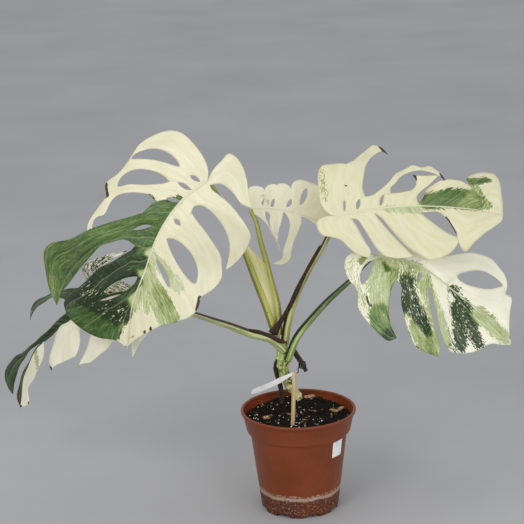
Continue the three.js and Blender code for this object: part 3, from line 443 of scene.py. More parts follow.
      "midrib": [[0, 0], [17, 3], [36, 5], [52, 7], [80, 9], [101, 9], [122, 7], [141, 5], [169, 4],
        [196, -2]],
      "hand": 1,
      "greens": {},
      # leaf_4's creams are set darker as painted shade.
      "ivory_with_painted_light": ("#DEDABC", "#D3CEA4"),
      "rib_green": (0, 0),
      "patches": [[108, 13, 169, 15, 9.7, 1, 0.64], [158, 36, 186, 44, 5.4, 1, 0.62],
        [149, 8, 180, 10, 5.4, 0.85, 0.45], [62, 5, 96, 3, 5.4, 0.9, 0.12],
        [-3, 61, -7, 21, 4.3, 0.5, 0.3], [159, 18, 172, 29, 4.3, 0.9, 0.4]],
      "browns": [[76, 105, 80, 91, 2.8], [130, 46, 132, 36, 1.9], [100, 52, 100, 43, 2.4],
        [127, -7, 136, -25, 1.7]],
      "scars": [[19, 38, 20, 37, 1.1]],
      "side_a": [
        gap(10, [[0, 0], [-9, 8], [-13, 21], [-11, 41], [-7, 61], [-1, 70]]),
        lobe("shield", 10, [], [], 2),
        gap(10, [[8, 1], [12, 5], [15, 20], [21, 46], [26, 69]], [[1, 2, 1.2]]),
        lobe("horn", 15, [[36, 76], [49, 89], [61, 102], [69, 108], [77, 103], [81, 90]], [[38, 34],
          [43, 52], [50, 69], [62, 86], [75, 96], [81, 90]]),
        gap(4, [[26, 4], [27, 7], [32, 19], [39, 22]], [[1, 2, 2]]),
        lobe("arch", 15, [[48, 24], [61, 33], [71, 42], [81, 53], [93, 60], [104, 65], [111, 60],
          [121, 62], [126, 54], [130, 46], [133, 36]], [[70, 33], [76, 38], [82, 45], [89, 51], [99, 55],
          [110, 55], [120, 50], [126, 45], [133, 36]]),
        gap(4, [[52, 7], [54, 10], [60, 23], [69, 25]], [[1, 2, 1.8]]),
        lobe("fishtail", 12, [[80, 26], [90, 27], [99, 34], [101, 43], [99, 50]], [[98, 20], [104, 27],
          [115, 34], [127, 44]], -2),
        gap(2, [[97, 9], [99, 12]]),
        lobe("fold", 10, [[105, 19], [110, 28], [119, 32]], [], 7, 1.3),
        gap(10, [[169, 4], [172, 10], [171, 18], [166, 26]]),
        lobe("tip_back", 14, [[162, 34], [159, 40], [174, 53], [188, 57], [199, 57], [203, 47], [201, 32],
          [199, 15], [196, -2]], []),
      ],
      "side_b": [
        gap(12, [[0, 0], [-9, 1], [-19, -4], [-21, -14], [-16, -23], [-7, -26], [3, -30], [11, -37],
          [21, -43], [33, -46]]),
        lobe("near_lobe", 12, [], [[24, -17], [30, -30], [36, -40], [33, -46]]),
        gap(1, [[17, 2], [19, -4]]),
        lobe("slab_1", 12, [[25, -6], [30, -16], [36, -27], [44, -38], [51, -44]], [[49, -7], [58, -19],
          [69, -30], [78, -39], [84, -46]], 3),
        gap(1, [[44, 6], [46, 1]]),
        lobe("slab_2", 12, [[52, -5], [61, -17], [71, -28], [80, -37], [89, -44], [100, -52]], [[104, -6],
          [114, -15], [126, -23], [139, -29]], 8),
        gap(1, [[97, 9], [99, 0]]),
        lobe("tip_front", 15, [[109, 1], [120, 0], [127, -7], [132, -16], [137, -27], [138, -36],
          [143, -45], [156, -35], [169, -26], [181, -18], [192, -10], [196, -2]], []),
      ],
        },
    "leaf_5": {
      "at": [87, -2, 186], "turn": 20, "tilt": 34, "rise": 0.08, "arch": 150, "nod": 700,
      "swells": [[8, -90, 45, 4], [50, -115, 60, -10], [95, -110, 60, -8], [155, -45, 50, -8]],
      "midrib": [[0, 0], [18, -5], [38, -10], [51, -17], [70, -34], [82, -46], [97, -60], [118, -76],
        [136, -92], [148, -116]],
      "hand": 1,
      "greens": {"base": (0.25, 0.15), "olive": (0.95, 0.36), "dark_left": (0.5, 0.2),
                 "dark_right": (0.5, 0.12)},
      # leaf_5's creams are set paler as painted light.
      "ivory_with_painted_light": ("#F2EFDA", "#EAE6CA"),
      "rib_green": (0.7, 0.1),
      "patches": [[-29, -13, -20, -47, 10.8, 0.45, 0.12], [-20, -47, -16, -71, 6.5, 0.5, 0.15],
        [-1, -14, -7, -62, 9.7, 0.75, 0.14], [-7, -65, -5, -86, 9.7, 1, 0.6],
        [0, -87, 7, -93, 5.4, 1, 0.95], [10, -11, 11, -18, 2.8, 1, 0.8],
        [22, -14, 22, -26, 2.8, 0.8, 0.4], [18, -7, 51, -20, 6.5, 0.7, 0.13],
        [27, -27, 38, -23, 5.4, 0.62, 0.4], [31, -36, 28, -59, 8.6, 0.74, 0.9],
        [31, -56, 50, -95, 7.6, 0.74, 0.92], [31, -86, 46, -105, 5.4, 0.85, 0.28],
        [51, -100, 59, -114, 5.4, 1, 0.5], [53, -36, 66, -104, 7.6, 0.78, 0.24],
        [65, -74, 72, -105, 4.3, 0.85, 0.12], [86, -52, 87, -107, 9.7, 0.76, 0.92],
        [97, -66, 108, -110, 7.6, 0.74, 0.9], [80, -55, 82, -60, 3.2, 0.35, 0.8],
        [115, -78, 139, -107, 8.6, 1, 0.2], [-18, -5, -12, -1, 3.2, 0.9, 0.45]],
      "scars": [[-20, -44, -16, -55, 1.2]],
      "browns": [[-31, 8, -24, 10, 2.2], [33, -103, 36, -105, 1.6],
        [148, -107, 147, -110, 1.1]],
      "side_a": [
        gap(12, [[0, 0], [27, 5], [50, 0], [68, -9], [83, -10], [101, -8], [124, -7], [140, -9],
          [152, -14], [160, -24], [166, -35], [165, -46], [158, -56]]),
        lobe("loop", 12, [], []),
        gap(12, [[78, -43], [94, -36], [111, -38], [138, -40], [158, -46], [158, -56]], [[1, 4, 10.7]]),
        lobe("tip_back", 16, [[165, -61], [160, -71], [152, -86], [148, -100], [148, -116]], []),
      ],
      "side_b": [
        gap(13, [[0, 0], [-13, 5], [-26, 6], [-34, 0], [-37, -10], [-35, -23], [-29, -33], [-29, -45],
          [-30, -54], [-24, -66], [-16, -77], [-8, -87], [0, -93], [10, -92]]),
        lobe("base", 13, [], []),
        gap(13, [[6, -2], [-3, -6], [-14, -17], [-21, -31], [-20, -53], [-8, -76], [10, -92]],
          [[1, 3, 5.1]]),
        lobe("olive", 13, [], [[11, -41], [7, -51], [4, -64], [4, -78], [10, -92]]),
        gap(4, [[21, -6], [21, -19], [18, -31]]),
        lobe("dark_left", 14, [[24, -38], [20, -55], [21, -72], [25, -89], [31, -100], [39, -106],
          [50, -112], [60, -116]], []),
        gap(14, [[44, -13], [51, -25], [45, -36], [42, -66], [53, -96], [60, -116]], [[1, 2, 1.8]]),
        lobe("dark_right", 14, [], [[54, -48], [53, -59], [55, -74], [59, -89], [63, -104], [60, -116]]),
        gap(3, [[60, -25], [59, -35], [58, -43]]),
        lobe("patched", 12, [[59, -49], [59, -63], [62, -81], [66, -96], [74, -111]], [], 6),
        gap(12, [[83, -47], [86, -66], [95, -87], [106, -105], [116, -113]]),
        lobe("tip_front", 14, [[124, -112], [135, -115], [148, -116]], []),
      ],
        },
}


def gap_side(cut, side, outer, rows):
    """One side of a gap and the lobe's own edge past it."""
    curve = Curve(cut["path"])
    share = np.linspace(0, 1, cut["rows"] + 1)
    half = np.zeros_like(share)
    for start, end, wide in cut["holes"]:
        start, end = curve.share(start), curve.share(end)
        inside = (share > start + 1e-6) & (share < end - 1e-6)
        half[inside] = wide * np.sin(np.pi * (share[inside] - start) / (end - start)) ** 0.6
    tangent = curve.along(share)
    normal = np.stack([-tangent[:, 1], tangent[:, 0]], -1)
    inner = curve.at(share) + normal * (side * half)[:, None]
    rest = rows - cut["rows"]
    if not rest:
        return inner
    if not len(outer):
        return np.vstack([inner, np.repeat(inner[-1:], rest, axis=0)])
    return np.vstack([inner, Curve([inner[-1], *outer]).at(np.linspace(0, 1, rest + 1))[1:]])


def lobe_grid(part, before, after, spine, hand):
    """A lobe's flat points, by row from the midrib out and by column across, and its width at each row."""
    rows = part["rows"]
    spaced = spine.at(np.linspace(0, 1, 201))
    nearest = lambda p: np.argmin(np.linalg.norm(spaced - p, axis=1)) / 200
    near = gap_side(before, -hand, part["before"], rows)
    start = nearest(near[0])
    if after:
        far = gap_side(after, hand, part["after"], rows)
        end = nearest(far[0])
    else:
        far = np.vstack([near[:1], spine.at(start + (1 - start) * np.arange(1, rows + 1) / rows)])
        end = start
    s = np.linspace(0, 1, ACROSS + 1)
    out = np.arange(rows + 1) / rows
    grid = near[:, None] * (1 - s)[None, :, None] + far[:, None] * s[None, :, None]
    if after:
        grid = grid + (spine.at(start + (end - start) * s) - grid[0])[None] * ((1 - out) ** 3)[:, None, None]
    side = far - near
    width = np.linalg.norm(side, axis=1)
    outward = np.stack([-side[:, 1], side[:, 0]], -1) / np.maximum(width, 1e-6)[:, None]
    round_end = np.sin(np.pi * s) ** 0.7
    bow = outward[:, None] * round_end[None, :, None] * (out**4)[:, None, None] * hand * part["bow"]
    grid = grid + bow
    grid[:, 0], grid[:, -1] = near, far
    return grid, width


def half_sheet(pieces, midrib, hand):
    """One half of a leaf as a flat sheet: welded points, each one's place in its lobes, faces and grain."""
    spine = Curve(midrib)
    welded, index, sums, faces, grain = [], {}, [], [], []
    for i in range(1, len(pieces), 2):
        part, before = pieces[i], pieces[i - 1]
        after = pieces[i + 1] if i + 1 < len(pieces) else None
        grid, width = lobe_grid(part, before, after, spine, hand)
        rows, columns = grid.shape[:2]
        centre = grid[:, ACROSS // 2]
        along = np.concatenate([[0], np.cumsum(np.linalg.norm(np.diff(centre, axis=0), axis=1))])
        numbers = np.empty((rows, columns), int)
        local = np.empty((rows, columns, 2))
        for r in range(rows):
            for c in range(columns):
                across = (c / ACROSS - 0.5) * width[r]
                key = (round(grid[r, c, 0] * 50), round(grid[r, c, 1] * 50))
                if key not in index:
                    index[key] = len(welded)
                    welded.append(grid[r, c])
                    sums.append([])
                numbers[r, c] = index[key]
                sums[index[key]].append((i, across, along[r], width[r]))
                local[r, c] = ((across - part["slant"] * along[r]) / UV_SCALE, along[r] / UV_SCALE)
        for r, c in np.ndindex(rows - 1, columns - 1):
            corners = [(r, c), (r, c + 1), (r + 1, c + 1), (r + 1, c)]
            if hand < 0:
                corners.reverse()
            kept = []
            for corner in corners:
                if all(numbers[corner] != numbers[other] for other in kept):
                    kept.append(corner)
            if len(kept) > 2:
                faces.append(tuple(int(numbers[corner]) for corner in kept))
                grain += [(local[corner][0] + 3 * i, local[corner][1]) for corner in kept]
    return np.array(welded), sums, faces, grain


def rim_distance(points, faces, spine):
    """How far each flat point is from the nearest free edge, in mm."""
    seen = {}
    for face in faces:
        for a, b in zip(face, face[1:] + face[:1]):
            key = (min(a, b), max(a, b))
            seen[key] = seen.get(key, 0) + 1
    spaced = spine.at(np.linspace(0, 1, 201))
    ends = sorted({v for key, times in seen.items() if times == 1 for v in key})
    free = [v for v in ends if np.min(np.linalg.norm(spaced - points[v], axis=1)) > 0.6]
    tree = kdtree.KDTree(len(free))
    for v in free:
        tree.insert((*points[v], 0), v)
    tree.balance()
    return np.array([tree.find((*p, 0))[2] for p in points])


def bend(shape, flat, proud=0.0):
    """Where flat leaf points lie on the finished leaf: the blade rises from the midrib and arches over, the
    leaf nods towards its tip, and swells raise or sink it round a point."""
    yaw, up = math.radians(shape["turn"]), math.radians(shape["tilt"])
    facing = np.array([math.sin(yaw) * math.cos(up), -math.cos(yaw) * math.cos(up), math.sin(up)])
    right = np.array([math.cos(yaw), math.sin(yaw), 0])
    upward = np.cross(facing, right)
    spine = np.asarray(shape["midrib"], float)
    reach = np.full(len(flat), np.inf)
    for a, b in zip(spine, spine[1:]):
        share = np.clip((flat - a) @ (b - a) / ((b - a) @ (b - a)), 0, 1)
        reach = np.minimum(reach, np.linalg.norm(flat - a - share[:, None] * (b - a), axis=1))
    along = flat @ (spine[-1] / np.linalg.norm(spine[-1]))
    lift = (shape["rise"] * reach - reach**2 / (2 * shape["arch"])
            - along * np.abs(along) / (2 * shape["nod"]))
    for x, y, wide, high in shape["swells"]:
        near = ((flat[:, 0] - x) ** 2 + (flat[:, 1] - y) ** 2) / wide**2
        lift += high * np.clip(1 - near, 0, 1) ** 2
    lift = lift + proud
    return above(shape["at"]) + flat[:, :1] * right + flat[:, 1:] * upward + lift[:, None] * facing


def patch_weight(flat, patch):
    """How much a patch of colour, a band round a line from one point to another, covers each flat point."""
    a, b = np.array(patch[:2], float), np.array(patch[2:4], float)
    share = np.clip((flat - a) @ (b - a) / max((b - a) @ (b - a), 1e-6), 0, 1)
    reach = np.linalg.norm(flat - a - share[:, None] * (b - a), axis=1)
    return np.clip(1.5 - reach / patch[4], 0, 1)


def colour_values(shape, flat, lobes, rim):
    """How much green covers each point, how deep that green is, and how brown and dry the blade is there."""
    base = [shape["greens"].get(name, (0, 0.3)) for name in lobes]
    cover, depth = (np.array(column, float) for column in zip(*base))
    for patch in shape["patches"]:
        weight = patch_weight(flat, patch)
        cover += (patch[5] - cover) * weight
        depth += (patch[6] - depth) * np.minimum(1, 2 * weight)
    brown = np.zeros(len(flat))
    for patch in shape["browns"]:
        brown = np.maximum(brown, patch_weight(flat, patch) * np.clip(1.8 - rim / patch[4], 0, 1))
    for patch in shape["scars"]:
        brown = np.maximum(brown, patch_weight(flat, patch))
    return cover, depth, brown


def leaf_piece(name, shape, settings, material):
    points, faces, grain = [], [], []
    values = {"cover": [], "depth": [], "brown": []}
    count = 0
    spine = Curve(shape["midrib"])
    for pieces, side in ((shape["side_a"], 1), (shape["side_b"], -1)):
        flat, sums, half_faces, half_grain = half_sheet(pieces, shape["midrib"], shape["hand"] * side)
        rim = rim_distance(flat, half_faces, spine)
        along, width = (np.array([np.mean([place[k] for place in places]) for places in sums])
                        for k in (2, 3))
        across = np.array([min(abs(place[1]) for place in places) for places in sums])
        groove = np.exp(-((across / (0.18 * width + 0.5)) ** 2)) * np.clip(along / 8, 0, 1)
        wave = np.sin((flat[:, 0] * 0.8 + flat[:, 1] * 0.6) * 2 * math.pi * MM / settings.ruffle_spacing)
        proud = (0.05 * width * (1 - (2 * across / np.maximum(width, 1e-3)) ** 2) * np.clip(along / 8, 0, 1)
                 - 0.7 * groove + settings.ruffle / MM * wave * np.exp(-rim / 6) * np.clip(along / 20, 0, 1))
        points.append(bend(shape, flat, proud))
        faces += [tuple(v + count for v in face) for face in half_faces]
        grain += half_grain
        names = [pieces[places[0][0]]["name"] for places in sums]
        for key, numbers in zip(values, colour_values(shape, flat, names, rim)):
            values[key].append(numbers)
        count += len(flat)
    blade = make_piece(name, np.vstack(points), faces, material, grain,
                       {key: np.concatenate(parts) for key, parts in values.items()})
    solid = blade.modifiers.new("Thickness", "SOLIDIFY")
    solid.thickness = settings.blade
    solid.offset = 0
    return blade


def midrib_piece(name, shape, material):
    flat = Curve(shape["midrib"]).at(np.linspace(0, 1, 40))
    points, faces, uvs, _, _ = tube(bend(shape, flat, -0.4), [RIB_RADIUS, RIB_END], sides=14, steps=90)
    cover, depth = shape["rib_green"]
    values = {"cover": np.full(len(points), cover), "depth": np.full(len(points), depth),
              "brown": np.zeros(len(points))}
    return make_piece(name, points, faces, material, uvs, values)


# ---- materials -----------------------------------------------------------------------------------


def srgb(code):
    """A hex sRGB colour as linear red, green, blue and alpha."""
    channels = [int(code[i : i + 2], 16) / 255 for i in (1, 3, 5)]
    return (*[c / 12.92 if c <= 0.04045 else ((c + 0.055) / 1.055) ** 2.4 for c in channels], 1.0)


def add(tree, kind, sockets=None, ramp=None, **settings):
    """Adds a node: its settings, its input sockets as values or as links, and its colour ramp's stops."""
    node = tree.nodes.new(kind)
    for key, value in settings.items():
        setattr(node, key, value)
    for key, value in (sockets or {}).items():
        if isinstance(value, bpy.types.NodeSocket):
            tree.links.new(value, node.inputs[key])
        else:
            node.inputs[key].default_value = value
    if ramp:
        stops = node.color_ramp.elements
        while len(stops) < len(ramp):
            stops.new(0.5)
        for stop, (place, colour) in zip(stops, ramp):
            stop.position = place
            stop.color = srgb(colour)
    return node


def new_material(name, roughness, **uniform):
    """A material with a Principled shader; `uniform` holds the shader's own even values."""
    material = bpy.data.materials.new(name)
    material.use_nodes = True
    tree = material.node_tree
    tree.nodes.clear()
    shader = add(tree, "ShaderNodeBsdfPrincipled", {"Roughness": roughness})
    for key, value in uniform.items():
        shader.inputs[key.replace("_", " ").title().replace("Ior", "IOR")].default_value = value
    add(tree, "ShaderNodeOutputMaterial", {"Surface": shader.outputs[0]})
    return material, tree, shader


def leaf_blade_material(name, ivories_with_painted_light):
    """Living leaf blade, waxy and smooth: pale cream where it has no green, made paler on some leaves as
    painted light and darker on others as painted shade, with green laid in streaks and flecks that run with
    the veins, and dry brown where it has died back."""
    material, tree, shader = new_material(name, 0.4, specular_ior_level=0.4)
    shader.inputs["Subsurface Weight"].default_value = 0.12
    shader.inputs["Subsurface Radius"].default_value = (1.0, 0.9, 0.45)
    shader.inputs["Subsurface Scale"].default_value = 0.0015
    cover, depth, brown = (
        add(tree, "ShaderNodeAttribute", attribute_name=name).outputs["Fac"]
        for name in ("cover", "depth", "brown"))
    grain = add(tree, "ShaderNodeUVMap", uv_map="grain").outputs[0]
    # Three patterns drawn out along the veins: flecks 1 x 3.5 mm, streaks 1.7 x 13 mm, clouds 6 x 28 mm.
    fleck, streak, cloud = (
        add(tree, "ShaderNodeTexNoise", {"Vector": add(tree, "ShaderNodeMapping", {
            "Vector": grain, "Scale": (UV_SCALE / wide, UV_SCALE / long, 1)}).outputs[0],
            "Scale": 1.0, "Detail": 3.0}).outputs[0]
        for wide, long in ((1.0, 3.5), (1.7, 13), (6, 28)))
    # Green where the cover, shifted by the patterns, is over a half. Its depth is shifted by them as well.
    signal = add(tree, "ShaderNodeMath", {0: cover, 1: 1.3, 2: -0.15}, operation="MULTIPLY_ADD").outputs[0]
    tone = depth
    for pattern, much, deep in ((fleck, 2.0, 0.5), (streak, 1.2, 0.8), (cloud, 0.7, 0.6)):
        centred = add(tree, "ShaderNodeMath", {0: pattern, 1: 0.5}, operation="SUBTRACT").outputs[0]
        signal = add(tree, "ShaderNodeMath", {0: centred, 1: much, 2: signal},
                     operation="MULTIPLY_ADD").outputs[0]
        tone = add(tree, "ShaderNodeMath", {0: centred, 1: deep, 2: tone},
                   operation="MULTIPLY_ADD").outputs[0]
    green = add(tree, "ShaderNodeMapRange", {"Value": signal, "From Min": 0.45, "From Max": 0.55},
                interpolation_type="SMOOTHSTEP").outputs[0]
    greens = add(tree, "ShaderNodeValToRGB", {0: tone}, ramp=[
        (0.0, "#C6CDA6"), (0.3, "#A5AF74"), (0.48, "#7B8D4A"), (0.68, "#4C6B2F"),
        (1.0, "#182C0D")]).outputs[0]
    # Each leaf's own pair of creams, with painted light and shade in it: paler on leaf_2 and leaf_5, darker
    # on leaf_1 and leaf_4.
    ivory_with_painted_light = add(tree, "ShaderNodeValToRGB", {0: cloud}, ramp=list(zip((0.3, 0.7), ivories_with_painted_light))).outputs[0]
    colour = add(tree, "ShaderNodeMix", {0: green, 6: ivory_with_painted_light, 7: greens}, data_type="RGBA").outputs[2]
    # The side vein down the middle of each lobe is about 1.4 mm wide and paler, and finer ones slant off it.
    across = add(tree, "ShaderNodeSeparateXYZ", {0: grain})
    lobe_place = add(tree, "ShaderNodeMath", {0: across.outputs[0], 1: 1.5}, operation="ADD").outputs[0]
    lobe_place = add(tree, "ShaderNodeMath", {0: lobe_place, 1: 3.0}, operation="FLOORED_MODULO").outputs[0]
    offset = add(tree, "ShaderNodeMath", {0: lobe_place, 1: 1.5}, operation="SUBTRACT").outputs[0]
    offset = add(tree, "ShaderNodeMath", {0: offset}, operation="ABSOLUTE").outputs[0]
    vein = add(tree, "ShaderNodeMapRange", {
        "Value": offset, "From Min": 0.2 / UV_SCALE, "From Max": 1.2 / UV_SCALE,
        "To Min": 1.0, "To Max": 0.0,
        }, interpolation_type="SMOOTHSTEP").outputs[0]
    slant = add(tree, "ShaderNodeMath", {0: offset, 1: -0.8, 2: across.outputs[1]},
                operation="MULTIPLY_ADD").outputs[0]
    slant = add(tree, "ShaderNodeMath", {0: slant, 1: UV_SCALE / 6.0 * 2 * math.pi},
                operation="MULTIPLY").outputs[0]
    fine = add(tree, "ShaderNodeMath", {0: slant}, operation="SINE").outputs[0]
    fine = add(tree, "ShaderNodeMapRange", {"Value": fine, "From Min": 0.7, "From Max": 1.0}).outputs[0]
    pale = add(tree, "ShaderNodeMath", {0: vein, 1: 0.16}, operation="MULTIPLY").outputs[0]
    pale = add(tree, "ShaderNodeMath", {0: fine, 1: 0.04, 2: pale}, operation="MULTIPLY_ADD").outputs[0]
    colour = add(tree, "ShaderNodeMix", {0: pale, 6: colour, 7: srgb("#CDD2A6")},
                 data_type="RGBA").outputs[2]
    # Dead tissue: tan at its edge, then dark brown, its outline broken up by the streaks.
    dying = add(tree, "ShaderNodeMath", {0: streak, 1: 0.5, 2: brown}, operation="MULTIPLY_ADD").outputs[0]
    dead = add(tree, "ShaderNodeMapRange", {"Value": dying, "From Min": 0.6, "From Max": 0.8}).outputs[0]
    browns = add(tree, "ShaderNodeValToRGB", {0: dying}, ramp=[(0.6, "#A98A55"), (0.85, "#4B2F1E"),
                                                               (1.0, "#2C1A11")]).outputs[0]
    colour = add(tree, "ShaderNodeMix", {0: dead, 6: colour, 7: browns}, data_type="RGBA").outputs[2]
    tree.links.new(colour, shader.inputs["Base Color"])
    relief = add(tree, "ShaderNodeMath", {0: streak, 1: 0.2, 2: vein}, operation="MULTIPLY_ADD").outputs[0]
    relief = add(tree, "ShaderNodeMath", {0: fine, 1: 0.25, 2: relief}, operation="MULTIPLY_ADD").outputs[0]
    bump = add(tree, "ShaderNodeBump", {"Height": relief, "Strength": 0.35, "Distance": 0.0004})
    tree.links.new(bump.outputs[0], shader.inputs["Normal"])
    return material


def round_grain(tree, radius=4):
    """Where a point lies on a round stalk, in mm: round it, as a circle so that no seam shows, and along."""
    place = add(tree, "ShaderNodeSeparateXYZ", {0: add(tree, "ShaderNodeUVMap",
                                                       uv_map="grain").outputs[0]}).outputs
    turn = add(tree, "ShaderNodeMath", {0: place[0], 1: 2 * math.pi}, operation="MULTIPLY").outputs[0]
    x, y = (add(tree, "ShaderNodeMath", {0: turn}, operation=way).outputs[0] for way in ("COSINE", "SINE"))
    circle = add(tree, "ShaderNodeCombineXYZ", {0: x, 1: y, 2: place[1]}).outputs[0]
    return add(tree, "ShaderNodeVectorMath", {0: circle, 1: (radius, radius, UV_SCALE)},
               operation="MULTIPLY").outputs[0]


def stalk_material(name, foot, top, ridge, line):
    """Fresh leaf stalk, smooth and slightly waxy: one green at its foot that turns to another, fine ridges
    along it, and the edge of its old sheath as a line in its own colour."""
    material, tree, shader = new_material(name, 0.4)
    grain = round_grain(tree)
    # Ridges 1.4 mm apart and long, with a few broad ones between.
    streak, broad = (
        add(tree, "ShaderNodeTexNoise", {"Vector": add(tree, "ShaderNodeVectorMath", {
            0: grain, 1: scale}, operation="MULTIPLY").outputs[0], "Scale": 1.0, "Detail": 3.0}).outputs[0]
        for scale in ((0.7, 0.7, 0.03), (0.3, 0.3, 0.012)))
    along = add(tree, "ShaderNodeAttribute", attribute_name="along").outputs["Fac"]
    rise = add(tree, "ShaderNodeMath", {0: broad, 1: 0.8, 2: along}, operation="MULTIPLY_ADD").outputs[0]
    rise = add(tree, "ShaderNodeMapRange", {"Value": rise, "From Min": 0.45, "From Max": 0.95}).outputs[0]
    base = add(tree, "ShaderNodeMix", {0: rise, 6: srgb(foot), 7: srgb(top)}, data_type="RGBA").outputs[2]
    lines = add(tree, "ShaderNodeMapRange", {"Value": streak, "From Min": 0.5, "From Max": 0.6,
                                             "To Max": 0.85}).outputs[0]
    base = add(tree, "ShaderNodeMix", {0: lines, 6: base, 7: srgb(ridge)}, data_type="RGBA").outputs[2]
    folds = add(tree, "ShaderNodeMapRange", {"Value": streak, "From Min": 0.4, "From Max": 0.47,
                                             "To Min": 0.45, "To Max": 0.0}).outputs[0]
    base = add(tree, "ShaderNodeMix", {0: folds, 6: base, 7: srgb(line)}, data_type="RGBA").outputs[2]
    marked = add(tree, "ShaderNodeAttribute", attribute_name="line").outputs["Fac"]
    marked = add(tree, "ShaderNodeMath", {0: streak, 1: 0.6, 2: marked}, operation="MULTIPLY_ADD").outputs[0]
    marked = add(tree, "ShaderNodeMapRange", {"Value": marked, "From Min": 0.8, "From Max": 1.0}).outputs[0]
    colour = add(tree, "ShaderNodeMix", {0: marked, 6: base, 7: srgb(line)}, data_type="RGBA").outputs[2]
    # Small brown flecks, about 1 mm, here and there.
    place = add(tree, "ShaderNodeTexCoord").outputs["Object"]
    fleck = add(tree, "ShaderNodeTexNoise", {"Vector": place, "Scale": 420.0, "Detail": 1.0}).outputs[0]
    fleck = add(tree, "ShaderNodeMapRange", {"Value": fleck, "From Min": 0.72, "From Max": 0.77}).outputs[0]
    colour = add(tree, "ShaderNodeMix", {0: fleck, 6: colour, 7: srgb("#5A4426")},
                 data_type="RGBA").outputs[2]
    tree.links.new(colour, shader.inputs["Base Color"])
    bump = add(tree, "ShaderNodeBump", {"Height": streak, "Strength": 0.4, "Distance": 0.0007})
    tree.links.new(bump.outputs[0], shader.inputs["Normal"])
    return material


def stem_material():
    """Old stem with its skin cracked: bright green and straw-coloured streaks, and brown corky scars."""
    material, tree, shader = new_material("Monstera_stem_skin", 0.5)
    place = add(tree, "ShaderNodeTexCoord").outputs["Object"]
    streak = add(tree, "ShaderNodeTexNoise", {"Vector": add(tree, "ShaderNodeMapping", {
        "Vector": place, "Scale": (420, 420, 70)}).outputs[0], "Scale": 1.0, "Detail": 5.0}).outputs[0]
    height = add(tree, "ShaderNodeSeparateXYZ", {0: place}).outputs[2]
    foot = add(tree, "ShaderNodeMapRange", {"Value": height, "From Min": (SOIL_Z + 14) * MM,
        "From Max": (SOIL_Z + 34) * MM}).outputs[0]
    low = add(tree, "ShaderNodeValToRGB", {0: streak}, ramp=[(0.35, "#B9A767"), (0.6, "#E2DAAA")]).outputs[0]
    high = add(tree, "ShaderNodeValToRGB", {0: streak}, ramp=[(0.34, "#5E8232"), (0.46, "#A0B25C"),
                                                              (0.62, "#D6D698")]).outputs[0]
    colour = add(tree, "ShaderNodeMix", {0: foot, 6: low, 7: high}, data_type="RGBA").outputs[2]
    scar = add(tree, "ShaderNodeTexNoise", {"Vector": add(tree, "ShaderNodeMapping", {
        "Vector": place, "Scale": (90, 90, 150)}).outputs[0], "Scale": 1.0, "Detail": 4.0}).outputs[0]
    marked = add(tree, "ShaderNodeAttribute", attribute_name="line").outputs["Fac"]
    scar = add(tree, "ShaderNodeMath", {0: marked, 1: 0.14, 2: scar}, operation="MULTIPLY_ADD").outputs[0]
    scar = add(tree, "ShaderNodeMapRange", {"Value": scar, "From Min": 0.61, "From Max": 0.68}).outputs[0]
    colour = add(tree, "ShaderNodeMix", {0: scar, 6: colour, 7: srgb("#6A4527")},
                 data_type="RGBA").outputs[2]
    tree.links.new(colour, shader.inputs["Base Color"])
    relief = add(tree, "ShaderNodeMath", {0: scar, 1: 0.6, 2: streak}, operation="MULTIPLY_ADD").outputs[0]
    bump = add(tree, "ShaderNodeBump", {"Height": relief, "Strength": 0.6, "Distance": 0.001})
    tree.links.new(bump.outputs[0], shader.inputs["Normal"])
    return material


def fibrous_material(name, dark, light, scale, roughness=0.85, bump_mm=0.6):
    """Dry plant fibre, such as dead sheath, aerial root, bark or wood: matte, streaked along its length.
    `scale` is the repeat of its streaks in mm, across, across and along Z."""
    material, tree, shader = new_material(name, roughness)
    place = add(tree, "ShaderNodeTexCoord").outputs["Object"]
    streak = add(tree, "ShaderNodeTexNoise", {"Vector": add(tree, "ShaderNodeMapping", {
        "Vector": place, "Scale": [1 / (mm * MM) for mm in scale]}).outputs[0], "Scale": 1.0,
        "Detail": 5.0}).outputs[0]
    colour = add(tree, "ShaderNodeValToRGB", {0: streak}, ramp=[(0.35, dark), (0.68, light)]).outputs[0]
    tree.links.new(colour, shader.inputs["Base Color"])
    bump = add(tree, "ShaderNodeBump", {"Height": streak, "Strength": 0.8, "Distance": bump_mm * MM})
    tree.links.new(bump.outputs[0], shader.inputs["Normal"])
    return material


def sheath_material():
    """Fresh sheath that is drying: ribbed, cream and papery in its middle, yellow-green at its edges."""
    material, tree, shader = new_material("Monstera_fresh_sheath", 0.5)
    grain = add(tree, "ShaderNodeUVMap", uv_map="grain").outputs[0]
    # Ribs about 1.6 mm apart.
    streak = add(tree, "ShaderNodeTexNoise", {"Vector": add(tree, "ShaderNodeMapping", {
        "Vector": grain, "Scale": (UV_SCALE / 1.6, UV_SCALE / 45, 1)}).outputs[0], "Scale": 1.0,
        "Detail": 3.0}).outputs[0]
    base = add(tree, "ShaderNodeValToRGB", {0: streak},
               ramp=[(0.35, "#BDB872"), (0.62, "#D9D29E")]).outputs[0]
    rim = add(tree, "ShaderNodeAttribute", attribute_name="rim").outputs["Fac"]
    edge = add(tree, "ShaderNodeMath", {0: streak, 1: -6.0, 2: rim}, operation="MULTIPLY_ADD").outputs[0]
    edge = add(tree, "ShaderNodeMapRange", {"Value": edge, "From Min": -1.5, "From Max": 7.5, "To Min": 1.0,
                                            "To Max": 0.0}).outputs[0]
    colour = add(tree, "ShaderNodeMix", {0: edge, 6: base, 7: srgb("#A6A550")}, data_type="RGBA").outputs[2]
    tree.links.new(colour, shader.inputs["Base Color"])
    bump = add(tree, "ShaderNodeBump", {"Height": streak, "Strength": 0.3, "Distance": 0.0006})
    tree.links.new(bump.outputs[0], shader.inputs["Normal"])
    return material


